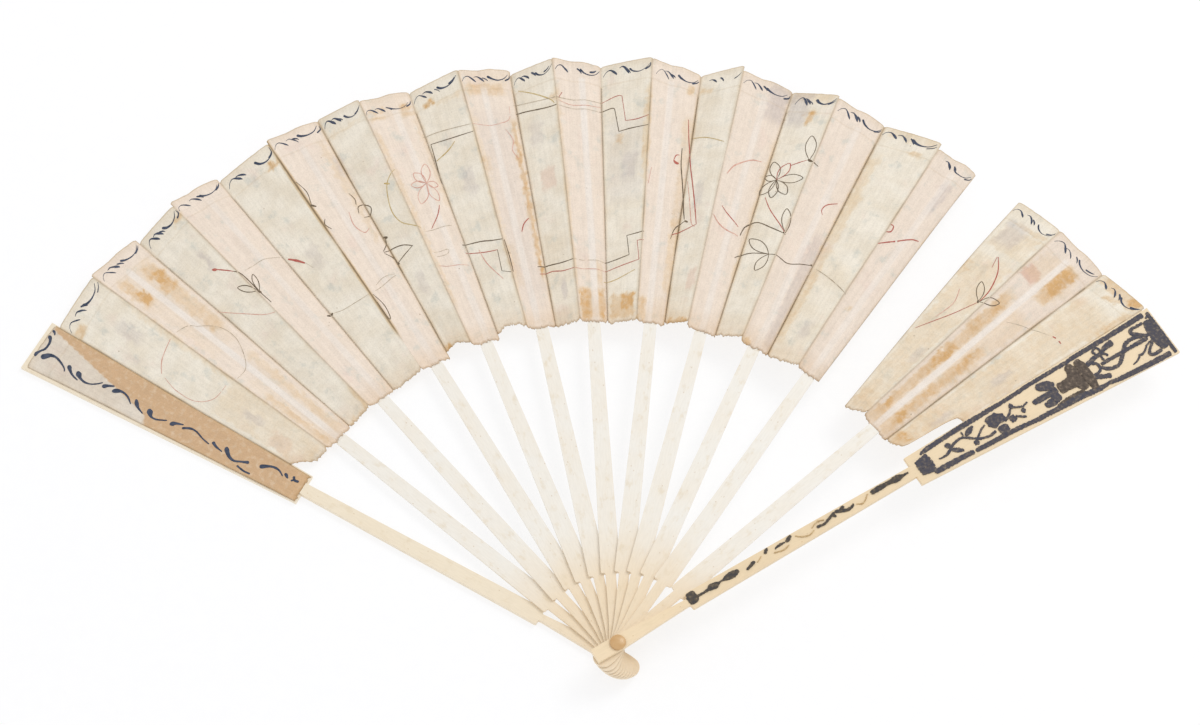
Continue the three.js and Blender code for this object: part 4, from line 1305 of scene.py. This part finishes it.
def ornament_top(order):
    """Height of a piece of ornament. The order keeps crossing pieces from lying in one plane."""
    return GUARD_TOP + sizes().ornament_height / MM + (order * 29 % ORNAMENT_TOPS) * TOP_STEP


def inlay_stroke(bm, path, order, ragged=0.35, spacing=0.4):
    """A raised band with chipped edges along a smooth curve through points of (across, along, width)."""
    line = curve_points([(x / 18, y, w) for x, y, w in path], spacing)
    total = len(line) - 1
    top = ornament_top(order)
    before = set(bm.faces)
    made = bmesh.ops.create_grid(bm, x_segments=1, y_segments=total, size=0.5)["verts"]
    for vert in made:
        index = round((vert.co.y + 0.5) * total)
        side = 1 if vert.co.x > 0 else -1
        x, y, width = line[index]
        ahead = line[min(index + 1, total)]
        behind = line[max(index - 1, 0)]
        run_x, run_y = (ahead[0] - behind[0]) * 18, ahead[1] - behind[1]
        length = math.hypot(run_x, run_y) or 1.0
        reach = min(index, total - index) * spacing + 0.2
        half = width / 2 * min(1.0, math.sqrt(reach / min(0.9, max(width / 2, 0.2))))
        half += ragged * noise.noise(Vector((x * 30, y * 1.6, side * 5 + order)))
        half = max(half, 0.12)
        vert.co = guard_point(x * 18 + side * half * run_y / length, y - side * half * run_x / length, top)
    raise_faces(bm, [face for face in bm.faces if face not in before])


def raise_faces(bm, faces):
    """Gives flat faces their height over the bone."""
    for face in faces:
        face.normal_update()
    if sum(face.normal.z for face in faces) < 0:
        bmesh.ops.reverse_faces(bm, faces=faces)
    grown = bmesh.ops.extrude_face_region(bm, geom=faces, use_keep_orig=True)["geom"]
    foot = [item for item in grown if isinstance(item, bmesh.types.BMVert)]
    bmesh.ops.translate(bm, verts=foot, vec=(0, 0, -(sizes().ornament_height + 0.2 * MM)))
    lower = [item for item in grown if isinstance(item, bmesh.types.BMFace)]
    bmesh.ops.reverse_faces(bm, faces=lower)


def inlay_spot(bm, across, along, half_width, half_length, order, ragged=0.45):
    """A raised spot with an uneven outline."""
    before = set(bm.faces)
    made = bmesh.ops.create_circle(bm, cap_ends=True, cap_tris=False, segments=20, radius=1.0)["verts"]
    for vert in made:
        grow = 1 + ragged * noise.noise(Vector((vert.co.x * 1.8 + across, vert.co.y * 1.8 + along, order)))
        vert.co = guard_point(
            across + vert.co.x * half_width * grow, along + vert.co.y * half_length * grow, ornament_top(order)
        )
    raise_faces(bm, [face for face in bm.faces if face not in before])


# Bands of the ornament, each through points of (across, along, width) in millimetres.
BLADE_BANDS = [
    [(-8.75, 263.5, 2.3), (-8.3, 254, 2.2), (-8.0, 240.7, 2.1), (-7.8, 229.4, 1.9), (-7.4, 220.9, 1.7),
     (-7.25, 211.8, 1.7), (-7.05, 202.7, 1.7), (-6.55, 193.6, 1.7), (-6.25, 181, 2.0), (-6.1, 171, 2.2),
     (-5.75, 161, 2.0), (-5.1, 151, 1.8), (-4.6, 148, 0.6)],
    [(11.25, 263.5, 2.2), (11, 254.4, 2.3), (10.45, 245.3, 2.1), (10, 238.5, 2.0), (9.3, 234, 1.6), (9.3, 229, 2.0),
     (8.6, 223.2, 2.4), (8, 216.4, 2.6), (7.85, 209.5, 2.2), (7.5, 202.7, 2.0), (7.4, 198.2, 1.8), (6.75, 191.4, 1.9),
     (6.5, 188.5, 2.0), (6.25, 183.5, 2.0), (6, 176, 2.0), (5.7, 168.6, 1.8)],
    [(5.6, 167.8, 1.8), (5.2, 161, 2.2), (5, 151, 2.2), (4.9, 148.8, 1.0)],
    [(-8.8, 265.5, 1.5), (0, 265.6, 1.6), (12.2, 265.5, 1.5)],
    [(-8.2, 266, 0.9), (-7.4, 264.8, 0.9), (-6.6, 263.6, 0.9)],
    [(-6, 263, 3.0), (-2, 262.9, 5.0), (2, 262.8, 5.2), (5, 263, 5.0), (8.4, 263.2, 3.0)],
    [(-5.6, 261.2, 1.4), (-5.7, 257.6, 1.2), (-5.8, 255.6, 1.4), (-5.2, 254.6, 1.6), (-3.9, 254.6, 1.6),
     (-2.6, 256.4, 1.4), (-0.8, 258.6, 1.3), (0, 260.2, 1.4)],
    [(8.1, 261.2, 1.5), (8.3, 258.9, 1.4), (8.1, 256.6, 1.4), (6.9, 255.8, 1.3), (5.1, 257.3, 1.1), (3.5, 259.4, 1.1),
     (2.2, 260, 1.2)],
    [(2.6, 259, 0.7), (3.5, 256.6, 0.8), (4.9, 254.8, 0.8), (5.6, 253, 1.1), (5.6, 251.6, 0.8), (6.9, 249.8, 0.8),
     (7.6, 246.9, 0.5)],
    [(0.8, 259, 1.8), (0.75, 250, 1.6), (0.7, 243, 1.5), (0.7, 235.4, 1.5)],
    [(-0.6, 257.5, 1.2), (-1.9, 254.8, 1.4), (-2.2, 251.6, 1.7), (-1.6, 249.4, 1.7), (0.1, 247.3, 1.7),
     (1.9, 245.3, 1.8), (3.7, 243.4, 1.7), (4.6, 241.6, 1.5), (4.7, 239.8, 1.6), (4.0, 237.1, 1.6), (2.8, 235.6, 1.5),
     (1.8, 234.6, 1.3)],
    [(-5.1, 245.3, 2.7), (-4.9, 242.5, 2.5), (-4.2, 239.8, 1.8), (-3.45, 238.5, 1.1), (-3.3, 236.2, 1.8),
     (-2.9, 233.5, 2.0), (-2.1, 230.7, 2.0), (-1.7, 229.4, 1.6)],
    [(-3.5, 238, 0.8), (-5.1, 238.5, 0.8), (-6.3, 237.8, 0.8), (-6.3, 236.2, 0.8), (-5.4, 235.3, 0.8),
     (-4.3, 236, 0.8)],
    [(-3.4, 238.2, 1.0), (-2, 239.8, 1.0), (-0.9, 240, 1.0)],
    [(-3.3, 238, 0.9), (-1.6, 237.3, 0.9), (-0.2, 237.6, 0.9)],
    [(6.9, 236.2, 2.5), (6.0, 233.9, 2.0), (4.9, 231.6, 2.0), (3.95, 229.4, 2.0)],
    [(-1.3, 232, 1.0), (-0.8, 233.6, 1.1), (0.8, 234.2, 1.2), (2.5, 233.6, 1.1), (3.2, 232, 1.2), (3.5, 229, 1.6)],
    [(-1, 212.6, 3.4), (-2.6, 210.8, 4.0), (-3.4, 209, 4.0), (-4, 207.2, 3.4), (-5, 205.9, 2.4)],
    [(0.4, 213, 3.0), (0.6, 208, 2.6), (0.6, 204, 2.6), (0.5, 200.8, 2.0)],
    [(2.8, 212.6, 4.4), (3.2, 210.8, 4.5), (3.6, 209, 4.6)],
    [(4.2, 210, 3.6), (4.2, 207.4, 3.4), (3.9, 205.6, 2.6), (3, 205, 1.4)],
    [(-1.1, 199.1, 0.8), (-0.7, 197.2, 0.8), (-0.2, 196.2, 0.8)],
    [(-0.6, 196.2, 0.7), (-1.6, 193.8, 0.7), (-2.4, 192.6, 0.7)],
    [(-2.6, 192, 0.8), (-1.6, 190.6, 0.8), (-0.6, 189.8, 0.8)],
    [(4, 195.2, 0.8), (2.8, 193.2, 0.8), (1.4, 191.4, 0.8)],
    [(-1.2, 190.5, 1.0), (0.4, 188, 1.0), (1.2, 186.4, 1.0)],
    [(1.8, 184, 4.4), (4, 184, 4.6), (6, 184.4, 3.6)],
    [(-1.8, 178.2, 0.8), (-0.6, 175.4, 0.8), (1.2, 172.8, 0.8), (1.8, 171.8, 0.8)],
    [(2.7, 180.6, 1.4), (3.2, 177.4, 1.0), (2.3, 173.4, 1.0), (0.1, 170, 0.9), (-1.7, 167.5, 0.9), (-2, 165.4, 1.0),
     (-1.3, 162, 1.1), (0, 159.8, 1.2), (1.1, 157, 1.0), (1, 153.6, 0.5)],
    [(-3.9, 173.6, 0.7), (-2.8, 171, 2.4), (-1.9, 168.8, 1.2)],
    [(3.1, 164.6, 0.8), (1.6, 162.4, 2.0), (0.3, 160.4, 1.4)],
    [(-4.2, 168, 0.5), (-3.3, 168, 0.6), (-2.4, 167.8, 0.5)],
    [(-3.2, 150.3, 1.7), (-2.6, 147.2, 1.7), (-2.0, 144.0, 1.4)],
    [(-1.5, 150.7, 1.7), (-1.1, 147.2, 1.6), (-0.8, 143.8, 1.3)],
    [(0.3, 150.8, 1.7), (0.3, 147.2, 1.6), (0.4, 143.7, 1.3)],
    [(2.1, 150.7, 1.7), (1.8, 147.2, 1.6), (1.6, 143.8, 1.3)],
    [(3.8, 150.3, 1.7), (3.3, 147.2, 1.7), (2.8, 144.0, 1.4)],
    [(-3.4, 148.8, 1.8), (0.3, 149.2, 2.0), (3.8, 148.8, 1.8)],
]
# Spots of the ornament: across, along, half width and half length in millimetres.
BLADE_SPOTS = [
    (1.0, 195.7, 1.1, 1.0), (-3.0, 192.2, 1.2, 1.0), (2.0, 189.8, 1.6, 1.5), (-1.3, 183.0, 2.9, 4.3),
    (2.9, 171.0, 1.2, 1.1), (-2.0, 160.0, 1.3, 1.3),
]
TROPHY_BANDS = [
    [(-6.2, 226.8, 2.6), (-3, 227.6, 4.2), (0.5, 227.6, 4.4), (4, 227.6, 4.2), (8.5, 227.4, 2.6)],
    [(-6.3, 222.6, 3.2), (-3, 223, 5.0), (0, 223.2, 6.0), (4, 223.6, 5.0), (6.6, 224.2, 2.4)],
    [(0.6, 221.5, 7.5), (0.9, 219.5, 5.4), (1, 216.6, 4.8), (1, 213.6, 5.0)],
    [(7.6, 222.6, 3.4), (7.4, 217, 3.8), (7.4, 212, 3.2), (7.3, 208.6, 2.0)],
]
SHAFT_SWELL = 1.25
SHAFT_SHIFT = -0.4
SHAFT_BANDS = [
    [(-0.3, 139.4, 0.5), (-0.2, 136.9, 0.9), (-0.4, 135.2, 2.0), (-0.4, 133, 2.2), (-0.6, 130.2, 1.3),
     (-0.7, 127.6, 1.6), (-0.65, 124.5, 1.8), (-0.6, 121.4, 1.5)],
    [(-0.4, 112.8, 0.6), (0.6, 110.9, 1.0), (0.4, 108.7, 1.1), (-0.6, 106.4, 1.3), (-1.3, 104.2, 0.9)],
    [(-1.5, 108.7, 1.0), (-1.25, 107.6, 1.0), (-1, 106.5, 1.0)],
    [(-1.3, 104, 0.8), (-0.2, 100.9, 0.9), (0.8, 97.8, 0.8), (0.4, 94.4, 0.9)],
    [(-0.8, 102.2, 0.9), (0, 103.4, 0.9), (0.6, 103.1, 0.9)],
    [(-2, 83.4, 0.8), (-1.2, 81.6, 1.3), (-0.7, 80.2, 0.5)],
    [(-0.8, 79.8, 0.4), (-1, 77.6, 0.8), (-0.5, 74.8, 0.5)],
    [(-2.4, 72.3, 0.8), (-1.6, 71.2, 0.8), (-0.8, 70.3, 0.8)],
    [(-0.3, 64.9, 1.1), (0.3, 63, 1.0), (1.2, 60.4, 0.7)],
    [(-0.3, 57.4, 1.0), (-0.2, 54.6, 2.3), (-0.2, 51.8, 1.9), (-0.1, 49.6, 0.6), (0, 48, 0.6)],
    [(0, 48, 0.6), (0.05, 46, 2.2), (0.05, 43.6, 1.8), (0.3, 41.8, 0.8), (0.4, 37, 0.8)],
    [(-2.8, 35.3, 3.0), (-0.2, 35.3, 3.4), (2.4, 35.3, 3.0)],
]
# Faint brown scrolls between the dark pieces of the shaft, where the ornament has rubbed down to its ground.
SHAFT_TRACES = [
    [(-1.4, 120.0, 0.4), (0.4, 117.6, 0.5), (1.0, 115.6, 0.4), (-0.2, 113.8, 0.3)],
    [(-1.2, 98.6, 0.3), (-1.9, 95.6, 0.5), (-0.8, 92.6, 0.4)],
    [(0.4, 92.8, 0.3), (1.3, 90.0, 0.5), (0.2, 86.8, 0.5), (-1.4, 84.8, 0.3)],
    [(0.6, 80.6, 0.3), (1.2, 77.2, 0.5), (0.3, 73.6, 0.3)],
    [(-1.2, 68.4, 0.3), (-0.2, 66.8, 0.4), (0.2, 65.6, 0.3)],
]


class FAN_OT_guard_ornament(bpy.types.Operator):
    """Dark raised ornament on the right guard: side bars, bow and ribbon, trophy, rose stem and a run on the shaft"""

    bl_idname = "fan.guard_ornament"
    bl_label = "Guard ornament"

    def execute(self, context):
        order = 0
        shaft = [[(x + SHAFT_SHIFT, y, width * SHAFT_SWELL) for x, y, width in band] for band in SHAFT_BANDS]
        for name, bands, spots, material in (
            ("guard_ornament_blade", BLADE_BANDS, BLADE_SPOTS,
             raised_ornament("Blue-black composition", "3c3c4b", "504a4c", "877a6c", 2200.0)),
            ("guard_ornament_trophy", TROPHY_BANDS, [],
             raised_ornament("Brown composition", "45392f", "5c4e42", "917f6c", 1400.0)),
            ("guard_ornament_shaft", shaft, [],
             raised_ornament("Olive-brown composition", "3a3636", "50463a", "83725a", 2200.0)),
            ("guard_ornament_traces", SHAFT_TRACES, [],
             raised_ornament("Rubbed-down composition", "b99a6c", "cbb083", "dcc69c", 2200.0)),
        ):
            bm = bmesh.new()
            for band in bands:
                inlay_stroke(bm, band, order)
                order += 1
            for spot in spots:
                inlay_spot(bm, *spot, order)
                order += 1
            shaped_object(name, bm, [material], "right_guard")
        return {"FINISHED"}


# The photograph's camera: how it stands to the fan, from a fit to the rivet, the sticks and the leaf's folds.
CAMERA_ELEVATION = 64.86
CAMERA_AZIMUTH = -11.21
CAMERA_ROLL = -10.12
CAMERA_DISTANCE = 1.4286
CAMERA_AIM = (-0.00102, 0.12866, 0.0)
IMAGE_WIDTH = 1200
MM_PER_PIXEL = 0.41
SENSOR_WIDTH = 36.0


def photo_camera():
    elevation, azimuth, roll = (math.radians(a) for a in (CAMERA_ELEVATION, CAMERA_AZIMUTH, CAMERA_ROLL))
    right = Vector((math.cos(azimuth), math.sin(azimuth), 0))
    back = Vector(
        (math.sin(azimuth) * math.cos(elevation), -math.cos(azimuth) * math.cos(elevation), math.sin(elevation))
    )
    up = back.cross(right)
    level = right * math.cos(roll) - up * math.sin(roll)
    rise = right * math.sin(roll) + up * math.cos(roll)
    camera = bpy.data.objects.new("camera", bpy.data.cameras.new("camera"))
    camera.matrix_world = Matrix((level, rise, back)).transposed().to_4x4()
    camera.location = Vector(CAMERA_AIM) + back * CAMERA_DISTANCE
    camera.data.sensor_width = SENSOR_WIDTH
    camera.data.lens = SENSOR_WIDTH * CAMERA_DISTANCE / (IMAGE_WIDTH * MM_PER_PIXEL * MM)
    camera.data.clip_start = 0.05
    camera.data.clip_end = 20
    bpy.context.scene.collection.objects.link(camera)
    bpy.context.scene.camera = camera


def soft_light(name, place, size, power, colour):
    light = bpy.data.lights.new(name, "AREA")
    light.shape = "DISK"
    light.size = size
    light.energy = power
    light.color = colour
    made = bpy.data.objects.new(name, light)
    made.location = place
    made.rotation_euler = (Vector((0, 0.12, 0)) - Vector(place)).to_track_quat("-Z", "Y").to_euler()
    bpy.context.scene.collection.objects.link(made)


class FAN_OT_stage(bpy.types.Operator):
    """A plain pale floor, soft studio light and the photograph's camera"""

    bl_idname = "fan.stage"
    bl_label = "Stage"

    def execute(self, context):
        bm = bmesh.new()
        bmesh.ops.create_grid(bm, x_segments=8, y_segments=8, size=6.0)
        bmesh.ops.translate(bm, verts=bm.verts, vec=(0, 0, -0.0002))
        mesh = bpy.data.meshes.new("studio_floor")
        bm.to_mesh(mesh)
        bm.free()
        mesh.materials.append(material_named("Backlit opal acrylic", backlit_acrylic))
        floor = bpy.data.objects.new("studio_floor", mesh)
        bpy.context.scene.collection.objects.link(floor)
        world = bpy.data.worlds.new("studio") if context.scene.world is None else context.scene.world
        context.scene.world = world
        world.use_nodes = True
        tree = world.node_tree
        tree.nodes.clear()
        sky = add_node(tree, "ShaderNodeBackground", inputs={"Color": (1, 1, 1, 1), "Strength": 0.8})
        add_node(tree, "ShaderNodeOutputWorld", inputs={"Surface": sky.outputs[0]})
        soft_light("key", (0.9, 0.9, 1.5), 0.9, 9.0, (1.0, 0.99, 0.97))
        soft_light("fill", (-1.3, -0.6, 1.3), 1.6, 2.0, (0.98, 0.99, 1.0))
        # The photograph's near-white ground needs plain display colours, which don't grey the whites.
        context.scene.view_settings.view_transform = "Standard"
        photo_camera()
        return {"FINISHED"}


class FAN_PT_pieces(bpy.types.Panel):
    """Lists the pieces of the fan"""

    bl_idname = "FAN_PT_pieces"
    bl_label = "Folding fan"
    bl_space_type = "VIEW_3D"
    bl_region_type = "UI"
    bl_category = "Fan"

    def draw(self, context):
        column = self.layout.column()
        for operator in OPERATORS:
            column.operator(operator.bl_idname)
        for group in (context.scene.fan_sizes, context.scene.fan_colours):
            for name in group.bl_rna.properties.keys():
                if name not in {"rna_type", "name"}:
                    column.prop(group, name)


OPERATORS = [
    FAN_OT_inner_sticks, FAN_OT_guards, FAN_OT_rivet, FAN_OT_leaf, FAN_OT_guard_ornament, FAN_OT_stage,
]
CLASSES = [FanSizes, FanColours] + OPERATORS + [FAN_PT_pieces]


def register():
    for each in CLASSES:
        bpy.utils.register_class(each)
    bpy.types.Scene.fan_sizes = PointerProperty(type=FanSizes)
    bpy.types.Scene.fan_colours = PointerProperty(type=FanColours)


def unregister():
    del bpy.types.Scene.fan_colours
    del bpy.types.Scene.fan_sizes
    for each in reversed(CLASSES):
        bpy.utils.unregister_class(each)


def main():
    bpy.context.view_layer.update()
    register()
    bpy.ops.fan.inner_sticks()
    bpy.ops.fan.guards()
    bpy.ops.fan.rivet()
    bpy.ops.fan.leaf()
    bpy.ops.fan.guard_ornament()
    bpy.ops.fan.stage()


if __name__ == "__main__":
    main()
